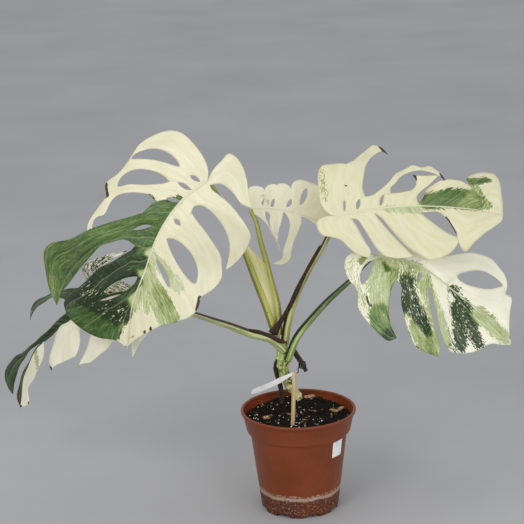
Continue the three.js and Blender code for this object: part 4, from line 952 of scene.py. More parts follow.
def pot_material(settings):
    """Injection-moulded polypropylene, terracotta coloured and half matte: faint waves and scuffs, a chalky
    line where hard water has dried, and a dirt-splashed foot below it."""
    material, tree, shader = new_material("Polypropylene_terracotta", 0.42, specular_ior_level=0.38)
    place = add(tree, "ShaderNodeTexCoord").outputs["Object"]
    height = add(tree, "ShaderNodeSeparateXYZ", {0: place}).outputs[2]
    cloud = add(tree, "ShaderNodeTexNoise", {"Vector": place, "Scale": 22.0, "Detail": 5.0}).outputs[0]
    body = add(tree, "ShaderNodeValToRGB", {0: cloud}, ramp=[(0.3, settings.pot_dark),
                                                             (0.7, settings.pot_light)]).outputs[0]
    # The chalky line: about 4 mm high, wandering by a millimetre or so, with a fainter, broken one near it.
    wander = add(tree, "ShaderNodeTexNoise", {"Vector": place, "Scale": 55.0, "Detail": 6.0}).outputs[0]
    level = add(tree, "ShaderNodeMath", {0: wander, 1: 0.006, 2: height},
                operation="MULTIPLY_ADD").outputs[0]
    level = add(tree, "ShaderNodeMath", {0: level, 1: (TIDE_Z + 3) * MM}, operation="SUBTRACT").outputs[0]
    speck = add(tree, "ShaderNodeTexNoise", {"Vector": place, "Scale": 520.0, "Detail": 4.0}).outputs[0]
    crust = []
    for rise, narrow, wide, least, most in ((0, 0.0012, 0.003, 0.3, 0.46),
                                            (0.0035, 0.0005, 0.0016, 0.48, 0.6)):
        off = add(tree, "ShaderNodeMath", {0: level, 1: rise}, operation="SUBTRACT").outputs[0]
        off = add(tree, "ShaderNodeMath", {0: off}, operation="ABSOLUTE").outputs[0]
        line = add(tree, "ShaderNodeMapRange", {"Value": off, "From Min": narrow, "From Max": wide,
                                                "To Min": 1.0, "To Max": 0.0}).outputs[0]
        broken = add(tree, "ShaderNodeMapRange", {"Value": speck, "From Min": least,
                                                  "From Max": most}).outputs[0]
        crust.append(add(tree, "ShaderNodeMath", {0: line, 1: broken}, operation="MULTIPLY").outputs[0])
    tide = add(tree, "ShaderNodeMath", {0: crust[0], 1: crust[1]}, operation="MAXIMUM").outputs[0]
    tide = add(tree, "ShaderNodeMath", {0: tide, 1: 0.7}, operation="MULTIPLY").outputs[0]
    below = add(tree, "ShaderNodeMapRange", {"Value": level, "From Min": -0.002, "From Max": 0.0005,
                                             "To Min": 1.0, "To Max": 0.0}).outputs[0]
    dirt = add(tree, "ShaderNodeValToRGB", {0: speck}, ramp=[(0.38, "#2A1710"), (0.56, "#5A3020"),
                                                             (0.68, "#9A7B68")]).outputs[0]
    grime = add(tree, "ShaderNodeMapRange", {"Value": wander, "From Min": 0.4, "From Max": 0.62,
                                             "To Min": 0.9, "To Max": 0.55}).outputs[0]
    grime = add(tree, "ShaderNodeMath", {0: below, 1: grime}, operation="MULTIPLY").outputs[0]
    colour = add(tree, "ShaderNodeMix", {0: grime, 6: body, 7: dirt}, data_type="RGBA").outputs[2]
    colour = add(tree, "ShaderNodeMix", {0: tide, 6: colour, 7: srgb("#BCA793")},
                 data_type="RGBA").outputs[2]
    # Dust and dried splashes, few and faint, over the whole wall.
    dust = add(tree, "ShaderNodeMapRange", {"Value": speck, "From Min": 0.66, "From Max": 0.76,
                                            "To Max": 0.35}).outputs[0]
    colour = add(tree, "ShaderNodeMix", {0: dust, 6: colour, 7: srgb("#B99C86")},
                 data_type="RGBA").outputs[2]
    tree.links.new(colour, shader.inputs["Base Color"])
    rough = add(tree, "ShaderNodeMapRange", {"Value": cloud, "From Min": 0.3, "From Max": 0.7,
                                             "To Min": 0.34, "To Max": 0.5})
    rough = add(tree, "ShaderNodeMath", {0: below, 1: 0.3, 2: rough.outputs[0]},
                operation="MULTIPLY_ADD").outputs[0]
    tree.links.new(rough, shader.inputs["Roughness"])
    bump = add(tree, "ShaderNodeBump", {"Height": speck, "Strength": 0.12, "Distance": 0.0004})
    tree.links.new(bump.outputs[0], shader.inputs["Normal"])
    return material


def mineral_material(name, dark, light, repeat_mm, roughness=0.95, bump_mm=0.5):
    """A loose, crumbly stuff, such as wet compost or perlite: matte, two-toned and pitted."""
    material, tree, shader = new_material(name, roughness, specular_ior_level=0.2)
    place = add(tree, "ShaderNodeTexCoord").outputs["Object"]
    lump = add(tree, "ShaderNodeTexNoise", {"Vector": place, "Scale": 1 / (repeat_mm * MM),
                                            "Detail": 5.0}).outputs[0]
    colour = add(tree, "ShaderNodeValToRGB", {0: lump}, ramp=[(0.35, dark), (0.65, light)]).outputs[0]
    tree.links.new(colour, shader.inputs["Base Color"])
    bump = add(tree, "ShaderNodeBump", {"Height": lump, "Strength": 0.9, "Distance": bump_mm * MM})
    tree.links.new(bump.outputs[0], shader.inputs["Normal"])
    return material


def sheet_plastic_material(name, base, mark, roughness):
    """A printed-on sheet left blank: smooth white plastic with a little handling dirt."""
    material, tree, shader = new_material(name, roughness)
    place = add(tree, "ShaderNodeTexCoord").outputs["Object"]
    smudge = add(tree, "ShaderNodeTexNoise", {"Vector": place, "Scale": 160.0, "Detail": 4.0}).outputs[0]
    colour = add(tree, "ShaderNodeValToRGB", {0: smudge}, ramp=[(0.3, mark), (0.55, base)]).outputs[0]
    tree.links.new(colour, shader.inputs["Base Color"])
    bump = add(tree, "ShaderNodeBump", {"Height": smudge, "Strength": 0.15, "Distance": 0.0004})
    tree.links.new(bump.outputs[0], shader.inputs["Normal"])
    return material


# ---- settings ------------------------------------------------------------------------------------


class PlantSettings(bpy.types.PropertyGroup):
    """Sizes of the leaves."""

    blade: bpy.props.FloatProperty(
        name="Blade thickness", description="Thickness of a leaf blade", default=0.0006, unit="LENGTH")
    ruffle: bpy.props.FloatProperty(
        name="Ruffle", description="How far a leaf's free edges wave", default=0.0007, unit="LENGTH")
    ruffle_spacing: bpy.props.FloatProperty(
        name="Ruffle spacing", description="From one wave of an edge to the next", default=0.028,
        unit="LENGTH")


class PotSettings(bpy.types.PropertyGroup):
    """The pot's moulding and colours."""

    segments: bpy.props.IntProperty(name="Segments", description="Faces round the pot", default=288, min=48)
    lip_rounding: bpy.props.FloatProperty(
        name="Rounding", description="Radius of the moulded corners", default=0.0008, unit="LENGTH")
    pot_light: bpy.props.StringProperty(name="Light", description="sRGB hex, where the pot is paler",
                                        default="#803B15")
    pot_dark: bpy.props.StringProperty(name="Dark", description="sRGB hex, where the pot is darker",
                                       default="#6E300E")


class SoilSettings(bpy.types.PropertyGroup):
    """What lies loose on the compost."""

    crumbs: bpy.props.IntProperty(name="Crumbs", description="Crumbs on a square metre", default=150000)
    perlite: bpy.props.IntProperty(name="Perlite", description="Perlite grains on a square metre",
                                   default=9000)
    bark: bpy.props.IntProperty(name="Bark bits", description="Small bits of bark on a square metre",
                                default=7000)
    crumb_size: bpy.props.FloatProperty(name="Crumb size", description="Radius of a crumb", default=0.0011,
                                        unit="LENGTH")
    seed: bpy.props.IntProperty(name="Seed", description="Arrangement of the loose pieces", default=7)


# ---- pot and soil --------------------------------------------------------------------------------


def wall_radius(z):
    return BASE_RADIUS + (SHOULDER_RADIUS - BASE_RADIUS) * z / SHOULDER_Z


def pot_points(settings):
    """The pot's moulded wall, with notches raised out of its foot ring."""
    floor_top = FLOOR_RISE + WALL
    profile = rounded([
        (0, 0), (FLOOR_DISC, 0), (FLOOR_DISC + 1, FLOOR_RISE), (BASE_RADIUS - FOOT_RING, FLOOR_RISE),
        (BASE_RADIUS - FOOT_RING, 0), (BASE_RADIUS - 0.3, 0), (wall_radius(NOTCH_HEIGHT), NOTCH_HEIGHT),
        (wall_radius(NOTCH_HEIGHT + 2), NOTCH_HEIGHT + 2), (SHOULDER_RADIUS, SHOULDER_Z - 0.4),
        (COLLAR_FOOT - 0.5, SHOULDER_Z), (COLLAR_FOOT + 0.1, SHOULDER_Z + 1.2),
        (RIM_RADIUS - 2.2, POT_HEIGHT - 4.8), (RIM_RADIUS - 0.2, POT_HEIGHT - 3.6),
        (RIM_RADIUS + 0.1, POT_HEIGHT - 0.8), (RIM_RADIUS - 1.8, POT_HEIGHT + 0.1),
        (LIP_INSIDE, POT_HEIGHT - 1.2), (LIP_INSIDE, POT_HEIGHT - 4), (COLLAR_FOOT - WALL, SHOULDER_Z + 1.8),
        (SHOULDER_RADIUS - WALL, SHOULDER_Z), (wall_radius(floor_top) - WALL, floor_top), (0, floor_top),
    ], settings.lip_rounding / MM)
    points, faces = lathe(profile, settings.segments)
    radius = np.hypot(points[:, 0], points[:, 1])
    turn = np.arctan2(points[:, 1], points[:, 0])
    step = 2 * np.pi / NOTCHES
    off = (turn - math.radians(NOTCH_TURN) + step / 2) % step - step / 2
    notched = (radius > BASE_RADIUS - FOOT_RING - 0.5) & (np.abs(off) * BASE_RADIUS < NOTCH_WIDTH / 2)
    points[notched, 2] = np.maximum(points[notched, 2], NOTCH_HEIGHT)
    return points, faces


def soil_height(x, y):
    """Height of the compost above its level line, heaped round the stem's foot and lumpy."""
    heap = MOUND["height"] * math.exp(-((x - MOUND["x"]) ** 2 + (y - MOUND["y"]) ** 2)
                                      / (2 * MOUND["spread"] ** 2))
    lumps = noise.noise(Vector((x / 16, y / 16, 3))) * 2.2 + noise.noise(Vector((x / 5, y / 5, 8))) * 2.4
    return heap + lumps + noise.noise(Vector((x / 1.9, y / 1.9, 1))) * 0.9


def soil_points():
    top = LIP_INSIDE - 2.2
    floor_top = FLOOR_RISE + WALL + 0.3
    profile = [(0, floor_top), (wall_radius(floor_top) - WALL - 0.3, floor_top),
               (SHOULDER_RADIUS - WALL - 0.3, SHOULDER_Z), (top - 1, SOIL_Z - 3)]
    profile += [(top * share, SOIL_Z) for share in np.linspace(1, 0, 46)]
    points, faces = lathe(profile, 150)
    for point in points:
        reach = math.hypot(point[0], point[1])
        if point[2] > SOIL_Z - 0.01:
            point[2] = SOIL_Z - 0.4 + soil_height(point[0], point[1]) * min(1, (top - reach) / 5 + 0.2)
    return points, faces


def scatter_tree(name, kind):
    """Scatters small lumps over a surface: flat flakes where kind is 'flake', else rounded grains."""
    tree = bpy.data.node_groups.new(name, "GeometryNodeTree")
    for label, socket, default in (
            ("Surface", "Geometry", None), ("Amount", "Float", 1000.0), ("Size", "Float", 0.001),
            ("Size spread", "Float", 0.5), ("Roughness", "Float", 0.4), ("Seed", "Int", 0),
            ("Material", "Material", None)):
        made = tree.interface.new_socket(name=label, in_out="INPUT", socket_type="NodeSocket" + socket)
        if default is not None:
            made.default_value = default
    tree.interface.new_socket(name="Geometry", in_out="OUTPUT", socket_type="NodeSocketGeometry")
    given = add(tree, "NodeGroupInput").outputs
    spots = add(tree, "GeometryNodeDistributePointsOnFaces", {
        "Mesh": given["Surface"], "Density": given["Amount"], "Seed": given["Seed"]})
    lump = add(tree, "GeometryNodeMeshIcoSphere", {"Radius": 1.0, "Subdivisions": 2})
    small = add(tree, "ShaderNodeMath", {0: 1.0, 1: given["Size spread"]}, operation="SUBTRACT").outputs[0]
    large = add(tree, "ShaderNodeMath", {0: 1.0, 1: given["Size spread"]}, operation="ADD").outputs[0]
    low = add(tree, "ShaderNodeCombineXYZ", {0: small, 1: small, 2: small}).outputs[0]
    high = add(tree, "ShaderNodeCombineXYZ", {0: large, 1: large, 2: large}).outputs[0]
    scale = add(tree, "FunctionNodeRandomValue", {0: low, 1: high, "Seed": given["Seed"]},
                data_type="FLOAT_VECTOR").outputs[0]
    shape = (2.0, 1.0, 0.28) if kind == "flake" else (1.0, 0.9, 0.75)
    scale = add(tree, "ShaderNodeVectorMath", {0: scale, 1: shape}, operation="MULTIPLY").outputs[0]
    scale = add(tree, "ShaderNodeVectorMath", {0: scale, "Scale": given["Size"]},
                operation="SCALE").outputs[0]
    tip = 0.35 if kind == "flake" else 3.14
    turn = add(tree, "FunctionNodeRandomValue", {0: (-tip, -tip, 0.0), 1: (tip, tip, 6.28),
                                                 "Seed": given["Seed"]},
               data_type="FLOAT_VECTOR").outputs[0]
    placed = add(tree, "GeometryNodeInstanceOnPoints", {
        "Points": spots.outputs["Points"], "Instance": lump.outputs["Mesh"], "Rotation": turn,
        "Scale": scale})
    real = add(tree, "GeometryNodeRealizeInstances", {0: placed.outputs[0]})
    place = add(tree, "GeometryNodeInputPosition").outputs[0]
    coarse = add(tree, "ShaderNodeMath", {0: 0.7, 1: given["Size"]}, operation="DIVIDE").outputs[0]
    pit = add(tree, "ShaderNodeTexNoise", {"Vector": place, "Scale": coarse, "Detail": 1.0}).outputs["Color"]
    pit = add(tree, "ShaderNodeVectorMath", {0: pit, 1: (0.5, 0.5, 0.5)}, operation="SUBTRACT").outputs[0]
    push = add(tree, "ShaderNodeMath", {0: given["Size"], 1: given["Roughness"]},
               operation="MULTIPLY").outputs[0]
    push = add(tree, "ShaderNodeMath", {0: push, 1: 3.0}, operation="MULTIPLY").outputs[0]
    pit = add(tree, "ShaderNodeVectorMath", {0: pit, "Scale": push}, operation="SCALE").outputs[0]
    rough = add(tree, "GeometryNodeSetPosition", {"Geometry": real.outputs[0], "Offset": pit})
    done = add(tree, "GeometryNodeSetMaterial", {"Geometry": rough.outputs[0],
                                                 "Material": given["Material"]})
    add(tree, "NodeGroupOutput", {0: done.outputs[0]})
    return tree


def scatter_piece(name, surface, kind, material, **inputs):
    """Lumps scattered over a surface's points and faces, turned into a plain mesh."""
    points, faces = surface
    piece = make_piece(name, points, faces, material)
    tree = scatter_tree(name.title() + "_scatter", kind)
    modifier = piece.modifiers.new("Scatter", "NODES")
    modifier.node_group = tree
    inputs["Material"] = material
    for item in tree.interface.items_tree:
        label = item.name.replace(" ", "_").lower()
        if item.in_out == "INPUT" and item.name != "Surface":
            modifier[item.identifier] = inputs.get(item.name, inputs.get(label))
    bpy.context.view_layer.update()
    evaluated = piece.evaluated_get(bpy.context.evaluated_depsgraph_get())
    mesh = bpy.data.meshes.new_from_object(evaluated)
    piece.modifiers.remove(modifier)
    piece.data = mesh
    mesh.name = name
    if not len(mesh.polygons):
        raise RuntimeError(f"{name} came out empty")
    return piece


def top_faces(points, faces, lowest, within):
    """The faces of a shape that lie above a height and within a radius."""
    keep = [f for f in faces if all(points[v][2] > lowest and math.hypot(*points[v][:2]) < within
                                    for v in f)]
    return points, keep


def chip_piece(name, material, seed):
    """A torn chip of bark that fills its node's box, its ends and faces broken up."""
    low, high = (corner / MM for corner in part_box(name))
    middle, half = np.array((low + high) / 2), np.array((high - low) / 2)
    columns, rows = 14, 10
    points = []
    for r in range(rows + 1):
        polar = np.pi * r / rows
        for c in range(columns):
            turn = 2 * np.pi * c / columns
            p = np.array([math.cos(polar), math.sin(polar) * math.cos(turn),
                          math.sin(polar) * math.sin(turn)])
            p = np.sign(p) * np.abs(p) ** 0.6
            bite = 1 + 0.22 * noise.noise(Vector(p * 1.6) + Vector((seed * 5, 0, 0)))
            points.append(p * bite)
    lean = {"bark_chip_1": 25, "bark_chip_2": -35, "bark_chip_3": 60, "bark_chip_4": 15}[name]
    turn = math.radians(lean)
    reach = max(half[0] / max(abs(math.cos(turn)), 0.5), 2.0)
    size = np.array([min(reach, 6.5), 2.4, half[2] * 1.2])
    points = np.array(points) * size
    spun = points.copy()
    spun[:, 0] = points[:, 0] * math.cos(turn) - points[:, 1] * math.sin(turn)
    spun[:, 1] = points[:, 0] * math.sin(turn) + points[:, 1] * math.cos(turn)
    spun = spun + middle - (0, 0, 0.8)
    faces = grid_faces(rows + 1, columns, closed=True)
    return make_piece(name + "_bark", spun, faces, material)


# ---- stem, stalks and sheaths --------------------------------------------------------------------
# Points run upwards, in mm from the soil line; radii are spread along them.

STEM = {"path": [(5, 38, -20), (5, 38, -1), (-2, 33, 14), (-9, 28, 27), (-15, 22, 45), (-16, 17, 64),
                 (-16, 14, 82)],
        "radii": [5, 5.2, 5, 5.2, 5.6, 7.5, 5]}
STALKS = {
    "petiole_1": {"path": [(-24, 12, 94), (-33, 10, 125), (-43, 8, 155), (-53, 6, 185), (-64, 2, 216),
        (-78, -12, 252), (-88, -26, 273), (-92, -35, 282)], "radii": [4.6, 4.2, 3.4, 2.8]},
    "petiole_2": {"path": [(-14, 12, 74), (-29, 7, 90), (-51, 5, 97), (-73, 3, 107), (-114, 2, 123),
        (-146, 4, 136), (-171, 6, 149)], "radii": [6, 5, 3.7, 2.7, 2.4]},
    "petiole_3": {"path": [(-20, 17, 92), (-21, 18, 125), (-27, 18, 153), (-33, 20, 181), (-38, 22, 201),
        (-42, 26, 221), (-48, 29, 234)], "radii": [4.6, 4, 3.2, 2.4]},
    "petiole_4": {"path": [(-14, 13, 82), (-9, 11, 110), (0, 8, 139), (16, 3, 172), (30, -2, 196),
        (38, -6, 214), (43, -9, 231)], "radii": [5, 4.4, 3.2, 2.6]},
    "petiole_5": {"path": [(-11, 8, 64), (0, 3, 92), (18, 0, 116), (36, -1, 136), (52, 0, 150),
                           (65, 2, 161.5), (76, 3, 174), (87, 1, 184)], "radii": [4.6, 4.4, 3.6, 2.8, 2.4]},
}
# For each stalk: its colours at its foot, at its top, on its ridges and in its line, and which way the
# line faces.
STALK_LOOKS = {
    "petiole_1": ("#B8B65A", "#9C9B48", "#C4C27C", "#85832F", (-0.7, -0.6, 0)),
    "petiole_2": ("#A9B96B", "#B3B681", "#C9CD9F", "#3A241A", (0.1, -0.3, 0.95)),
    "petiole_3": ("#C4BF74", "#A9AB4E", "#C5C67F", "#8F8F3A", (0.8, -0.5, 0)),
    "petiole_4": ("#B5B566", "#9EA262", "#C4C792", "#2C1B13", (-0.85, -0.4, 0.3)),
    "petiole_5": ("#9CAF5F", "#4C6A2B", "#C1CC93", "#1F2A12", (-0.6, -0.45, 0.65)),
}
ROOTS = {
    "aerial_root_left": {"path": [(-20, 22, 63), (-24, 26, 50), (-22, 28, 37), (-19, 31, 23), (-17, 34, -6)],
                         "radii": [3, 2.8, 2.6]},
    "aerial_root_right": {"path": [(-4, 18, 73), (1, 18, 64), (6, 18, 56), (10, 18, 47)],
                          "radii": [3, 3, 2.2]},
}
SHEATH = 0.9
SHEATHS = {
    "sheath_pale": {"from": [(-20, 9, 90), *STALKS["petiole_1"]["path"][:5]],
                    "to": [(-19, 12, 90), *STALKS["petiole_3"]["path"][:3], (-31, 19, 172)],
                    "bulge": (0, -4.5, 0)},
    "sheath_dry": {"from": [(-31.5, 3, 100), (-18, 4, 115), (-5, 5, 137), (8, 3, 164), (17, -1, 182),
                            (27, -5, 200)],
                   "to": [(-22, 6, 94), (-17, 6, 106), (-8, 5, 122), (2, 3, 142), (13, 0, 168),
                          (21, -3, 184), (28, -5, 200)],
                   "bulge": (0, -1, 0)},
    "sheath_base": {"from": [(-53, 3, 103.5), (-42, 1, 102.5), (-30, 0, 98), (-19, -2, 93), (-11, -3, 89)],
                    "to": [(-52.6, 3, 102.8), (-41, 1, 98), (-30, 0, 93.5), (-20, -2, 88),
                           (-11.5, -3, 87.5)],
                    "bulge": (0, -1, 0)},
}


def knobbly(share, turn):
    """A stem's swollen rings, where old leaves were, and its uneven sides."""
    rings = sum(0.16 * math.exp(-(((share - place) / 0.016) ** 2))
                for place in (0.3, 0.47, 0.62, 0.74, 0.85))
    waves = np.array([noise.noise(Vector((math.cos(a) * 1.4, math.sin(a) * 1.4, share * 9))) for a in turn])
    return rings + 0.12 * waves


def rooty(share, turn):
    waves = np.array([noise.noise(Vector((math.cos(a) * 2, math.sin(a) * 2, share * 14))) for a in turn])
    return 0.1 * waves + 0.04 * math.sin(share * 60)


def grooved(share, turn):
    """A stalk is round, with one flattened side that fades out towards the blade."""
    return -0.16 * np.clip(np.cos(turn - 2.2), 0, 1) ** 3 * (1 - 0.5 * share)


def stalk_piece(name, shape, material, faces_line, bumps, sides=24, steps=80):
    points, faces, uvs, outward, along = tube(above(shape["path"]), shape["radii"], sides, steps, bumps)
    way = np.array(faces_line, float) / np.linalg.norm(faces_line)
    line = np.clip((outward @ way - 0.55) / 0.35, 0, 1)
    return make_piece(name, points, faces, material, uvs, {"line": line, "along": along})


# ---- label ---------------------------------------------------------------------------------------

LABEL = {"width": 17, "height": 19, "angle": -38, "from_shoulder": 3, "gap": 0.15, "face": 0.45}
LABEL_STRIPS = 16


def label_points():
    """The label's outer points and then its inner ones: it follows the wall, its top corners peeling."""
    middle, spread = math.radians(LABEL["angle"]), LABEL["width"] / SHOULDER_RADIUS
    columns = [middle + spread * (c / LABEL_STRIPS - 0.5) for c in range(LABEL_STRIPS + 1)]
    points = []
    for lift in (LABEL["face"], LABEL["gap"]):
        for share in np.linspace(0, 1, LABEL_STRIPS + 1):
            z = SHOULDER_Z - LABEL["from_shoulder"] - LABEL["height"] * share
            for turn in columns:
                corner = max(abs(turn - middle) / spread * 2 - 0.8, 0) * max(abs(share - 0.5) * 2 - 0.8, 0)
                reach = wall_radius(z) + lift + corner * 8 * (share < 0.5)
                points.append((reach * math.cos(turn), reach * math.sin(turn), z))
    return points


# ---- stage ---------------------------------------------------------------------------------------

FOCAL = 122.9  # mm, on the usual 36 mm sensor
CAMERA_PLACE = (-36.6, -1900, 819.8)
CAMERA_PITCH = 15.62  # degrees down
CAMERA_ROLL = 1.5


def stage_material():
    """Matt pale grey paper sweep, even but for the faintest mottling."""
    material, tree, shader = new_material("Paper_sweep", 0.9)
    place = add(tree, "ShaderNodeTexCoord").outputs["Object"]
    cloud = add(tree, "ShaderNodeTexNoise", {"Vector": place, "Scale": 3.0, "Detail": 5.0}).outputs[0]
    colour = add(tree, "ShaderNodeValToRGB", {0: cloud},
                 ramp=[(0.3, "#A6A6A7"), (0.7, "#AFAFB0")]).outputs[0]
    tree.links.new(colour, shader.inputs["Base Color"])
    return material


def add_camera():
    pitch, roll = math.radians(CAMERA_PITCH), math.radians(CAMERA_ROLL)
    forward = Vector((0, math.cos(pitch), -math.sin(pitch)))
    right = Vector((1, 0, 0))
    up = right.cross(forward)
    right, up = right * math.cos(roll) - up * math.sin(roll), up * math.cos(roll) + right * math.sin(roll)
    camera = bpy.data.objects.new("Camera", bpy.data.cameras.new("Camera"))
    camera.data.lens = FOCAL
    camera.data.clip_end = 60
    turned = Matrix((right, up, -forward)).transposed().to_4x4()
    camera.matrix_world = Matrix.Translation(Vector(CAMERA_PLACE) * MM) @ turned
    bpy.context.scene.collection.objects.link(camera)
    bpy.context.scene.camera = camera


def add_lamp(name, place, size, watts, colour="#FFFFFF", aim=(0, 0, 0.22)):
    data = bpy.data.lights.new(name, "AREA")
    data.size = size
    data.energy = watts
    data.color = srgb(colour)[:3]
    lamp = bpy.data.objects.new(name, data)
    lamp.location = place
    lamp.rotation_euler = (Vector(aim) - Vector(place)).to_track_quat("-Z", "Y").to_euler()
    bpy.context.scene.collection.objects.link(lamp)


# ---- operators -----------------------------------------------------------------------------------


class MONSTERA_OT_stage(bpy.types.Operator):
    """Adds the floor, the lamps and the camera"""

    bl_idname = "monstera.stage"
    bl_label = "Stage"

    def execute(self, context):
        scene = context.scene
        scene.view_settings.view_transform = "Standard"
        scene.world = bpy.data.worlds.new("Room")
        scene.world.use_nodes = True
        background = scene.world.node_tree.nodes["Background"]
        background.inputs["Color"].default_value = srgb("#E4E6EA")
        background.inputs["Strength"].default_value = 0.86
        reach = 14000
        corners = [(-reach, -reach, 0), (reach, -reach, 0), (reach, reach, 0), (-reach, reach, 0)]
        floor = make_piece("floor", corners, [(0, 1, 2, 3)], stage_material())
        add_camera()
        add_lamp("Key_window", (-1.0, -1.7, 1.5), 1.0, 16, "#FFFAF2")
        add_lamp("Top_softbox", (0.1, 0.0, 2.1), 1.2, 2.5, "#FFFFFF")
        add_lamp("Fill_right", (1.2, -2.0, 0.6), 1.4, 18, "#F6F8FF")
        return {"FINISHED"}


class MONSTERA_OT_pot(bpy.types.Operator):
    """Adds the nursery pot"""

    bl_idname = "monstera.pot"
    bl_label = "Pot"

    def execute(self, context):
        settings = context.scene.monstera_pot
        points, faces = pot_points(settings)
        finish_piece(make_piece("nursery_pot", points, faces, pot_material(settings)), "pot", "pot")
        return {"FINISHED"}


class MONSTERA_OT_soil(bpy.types.Operator):
    """Adds the compost with its crumbs, perlite and bark"""

    bl_idname = "monstera.soil"
    bl_label = "Soil"

    def execute(self, context):
        settings = context.scene.monstera_soil
        compost = mineral_material("Peat_compost", "#060403", "#17110D", 3)
        points, faces = soil_points()
        finish_piece(make_piece("compost", points, faces, compost), "soil", "soil")
        surface = top_faces(points, faces, SOIL_Z - 2.5, LIP_INSIDE - 3.5)
        crumbs = scatter_piece("compost_crumbs", surface, "grain",
                               mineral_material("Peat_crumbs", "#070504", "#2E221A", 1.5),
                               amount=settings.crumbs, size=settings.crumb_size, size_spread=0.7,
                               roughness=0.5, seed=settings.seed)
        perlite = scatter_piece("perlite", surface, "grain",
                                mineral_material("Perlite", "#C9C6BE", "#F4F2EC", 1),
                                amount=settings.perlite, size=settings.crumb_size * 0.8, size_spread=0.6,
                                roughness=0.45, seed=settings.seed + 1)
        bark = fibrous_material("Pine_bark_bits", "#3A271A", "#B08C64", (1, 1, 1))
        bits = scatter_piece("bark_bits", surface, "flake", bark, amount=settings.bark,
                             size=settings.crumb_size * 1.25, size_spread=0.6, roughness=0.4,
                             seed=settings.seed + 2)
        finish_piece(crumbs, "soil")
        finish_piece(perlite, "soil")
        finish_piece(bits, "bark")
        chips = fibrous_material("Pine_bark_chip", "#6E4C30", "#D3AE7C", (2.5, 2.5, 1.0), roughness=0.8)
        for i in range(1, 5):
            finish_piece(chip_piece(f"bark_chip_{i}", chips, i), "bark", f"bark_chip_{i}")
        return {"FINISHED"}


class MONSTERA_OT_stem(bpy.types.Operator):
    """Adds the stem and its aerial roots"""

    bl_idname = "monstera.stem"
    bl_label = "Stem and roots"

    def execute(self, context):
        stem = stalk_piece("main_stem", STEM, stem_material(), (0.9, -0.5, 0), knobbly, sides=40, steps=160)
        finish_piece(stem, "stem", "stem")
        root_skin = fibrous_material("Aerial_root_skin", "#120D0A", "#4A382B", (1.2, 1.2, 5))
        for name, shape in ROOTS.items():
            root = stalk_piece(name + "_fine", shape, root_skin, (1, 0, 0), rooty)
            finish_piece(root, "aerial_root", name)
        return {"FINISHED"}


class MONSTERA_OT_stalks(bpy.types.Operator):
    """Adds the leaf stalks and their sheaths"""

    bl_idname = "monstera.stalks"
    bl_label = "Leaf stalks"

    def execute(self, context):
        for name, shape in STALKS.items():
            *colours, way = STALK_LOOKS[name]
            material = stalk_material(f"Monstera_{name}", *colours)
            finish_piece(stalk_piece(name + "_fine", shape, material, way, grooved), "petiole", name)
        fresh = sheath_material()
        dry = fibrous_material("Monstera_dried_sheath", "#140B07", "#4A2B19", (1.5, 1.5, 9))
        for name, shape in SHEATHS.items():
            points, faces, uvs, rim = sheet(above(shape["from"]), above(shape["to"]), SHEATH, shape["bulge"])
            pale = name == "sheath_pale"
            piece = make_piece(name + "_fine", points, faces, fresh if pale else dry, uvs, {"rim": rim})
            finish_piece(piece, "sheath_pale" if pale else "sheath_dry", name)
        return {"FINISHED"}


class MONSTERA_OT_leaves(bpy.types.Operator):
    """Adds the five leaves and their midribs"""

    bl_idname = "monstera.leaves"
    bl_label = "Leaves"

    def execute(self, context):
        settings = context.scene.monstera_plant
        slots = {part["node"]: part["material_slot"] for part in frame["record"]["subparts"]}
        for name, shape in LEAVES.items():
            # Each leaf gets its own blade material, so that its creams can carry its painted light and
            # shade.
            material = leaf_blade_material("Monstera_blade_of_" + name, shape["ivory_with_painted_light"])
            finish_piece(leaf_piece(name + "_blade", shape, settings, material), slots[name], name)
            finish_piece(midrib_piece(name + "_midrib", shape, material), slots[name])
        return {"FINISHED"}


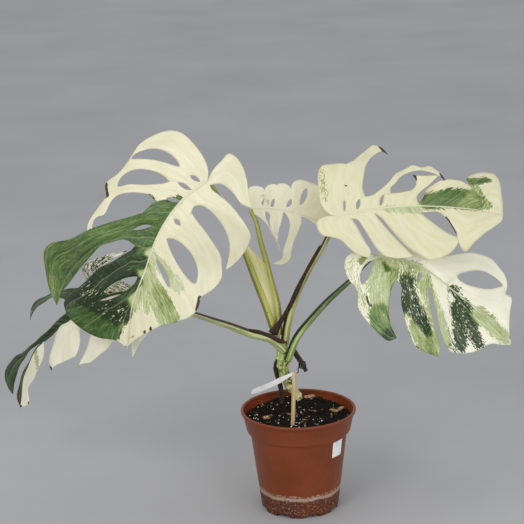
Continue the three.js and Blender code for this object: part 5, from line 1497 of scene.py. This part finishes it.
class MONSTERA_OT_trimmings(bpy.types.Operator):
    """Adds the stick, the tag with its tie, and the blank label"""

    bl_idname = "monstera.trimmings"
    bl_label = "Stick, tag and label"

    STICK_RADIUS = 2.3
    STICK_PATH = [(-9.4, -27, -50), (-7, -27, 0), (-4, -27, 62)]
    TAG_PATH = [(-1, 5, 51), (-28, 17, 33), (-53, 41, 14.5)]
    TAG_WIDTH = 7
    TIE_RING = (6, 18, 56)
    TIE_RADIUS = 3.9
    WIRE = 0.6

    def execute(self, context):
        wood = fibrous_material("Bamboo_stick", "#B99A68", "#DCC598", (0.7, 0.7, 22), roughness=0.6,
                                bump_mm=0.25)
        points, faces, uvs, _, _ = tube(above(self.STICK_PATH), [self.STICK_RADIUS] * 2, sides=24, steps=40)
        finish_piece(make_piece("support_stick", points, faces, wood, uvs), "stick", "stick")

        white = sheet_plastic_material("Polystyrene_tag", "#F6F6F4", "#E6E6E2", 0.35)
        share = np.linspace(0, 1, 30)
        taper = np.minimum(0.3 + 2.2 * share, 1)
        half = self.TAG_WIDTH / 2 * taper * np.sqrt(np.clip((1.01 - share) / 0.12, 0, 1))
        middle = Curve(above(self.TAG_PATH)).at(share)
        sides = [middle + np.outer(half * side, (0, 0, 1)) for side in (1, -1)]
        points, faces, uvs, _ = sheet(*sides, 0.6, rows=60, across=10)
        finish_piece(make_piece("blank_tag", points, faces, white, uvs), "tag", "plant_tag")

        x, y, z = self.TIE_RING
        turns = [(x + self.TIE_RADIUS * math.cos(a), y + self.TIE_RADIUS * math.sin(a) * 0.88,
                  z + self.TIE_RADIUS * math.sin(a) * 0.48 - 0.25 * a)
                  for a in np.linspace(0.4, 4 * math.pi + 3.4, 60)]
        wire = turns + [(x - 5, y - 7, z - 3), (0.4, 5, 50), (-2.5, 6.2, 49.4)]
        black = fibrous_material("Paper_covered_wire", "#0B0B0B", "#2A2622", (1, 1, 1), roughness=0.6,
                                 bump_mm=0.1)
        points, faces, uvs, _, _ = tube(above(wire), [self.WIRE, self.WIRE], sides=10, steps=200)
        finish_piece(make_piece("twist_tie", points, faces, black, uvs), "tie", "tag_tie")

        gloss = sheet_plastic_material("Vinyl_label", "#F2F2F0", "#DEDDDA", 0.3)
        label = make_piece("blank_label", label_points(), sheet_faces(LABEL_STRIPS, LABEL_STRIPS), gloss)
        finish_piece(label, "label", "pot_label")
        return {"FINISHED"}


class MONSTERA_PT_sidebar(bpy.types.Panel):
    """Lists the pieces in the 3D view's sidebar"""

    bl_idname = "MONSTERA_PT_sidebar"
    bl_label = "Potted monstera"
    bl_space_type = "VIEW_3D"
    bl_region_type = "UI"
    bl_category = "Monstera"

    def draw(self, context):
        for group in (context.scene.monstera_plant, context.scene.monstera_pot, context.scene.monstera_soil):
            box = self.layout.box()
            for key in group.__annotations__:
                box.prop(group, key)
        for operator in OPERATORS:
            self.layout.operator(operator.bl_idname)


SETTINGS = {"monstera_plant": PlantSettings, "monstera_pot": PotSettings, "monstera_soil": SoilSettings}
OPERATORS = (MONSTERA_OT_stage, MONSTERA_OT_pot, MONSTERA_OT_soil, MONSTERA_OT_stem, MONSTERA_OT_stalks,
             MONSTERA_OT_leaves, MONSTERA_OT_trimmings)
CLASSES = (*SETTINGS.values(), *OPERATORS, MONSTERA_PT_sidebar)


def register():
    for item in CLASSES:
        bpy.utils.register_class(item)
    for key, group in SETTINGS.items():
        setattr(bpy.types.Scene, key, bpy.props.PointerProperty(type=group))


def unregister():
    for key in SETTINGS:
        delattr(bpy.types.Scene, key)
    for item in reversed(CLASSES):
        bpy.utils.unregister_class(item)


def main():
    register()
    for operator in OPERATORS:
        group, name = operator.bl_idname.split(".")
        getattr(getattr(bpy.ops, group), name)()


if __name__ == "__main__":
    main()
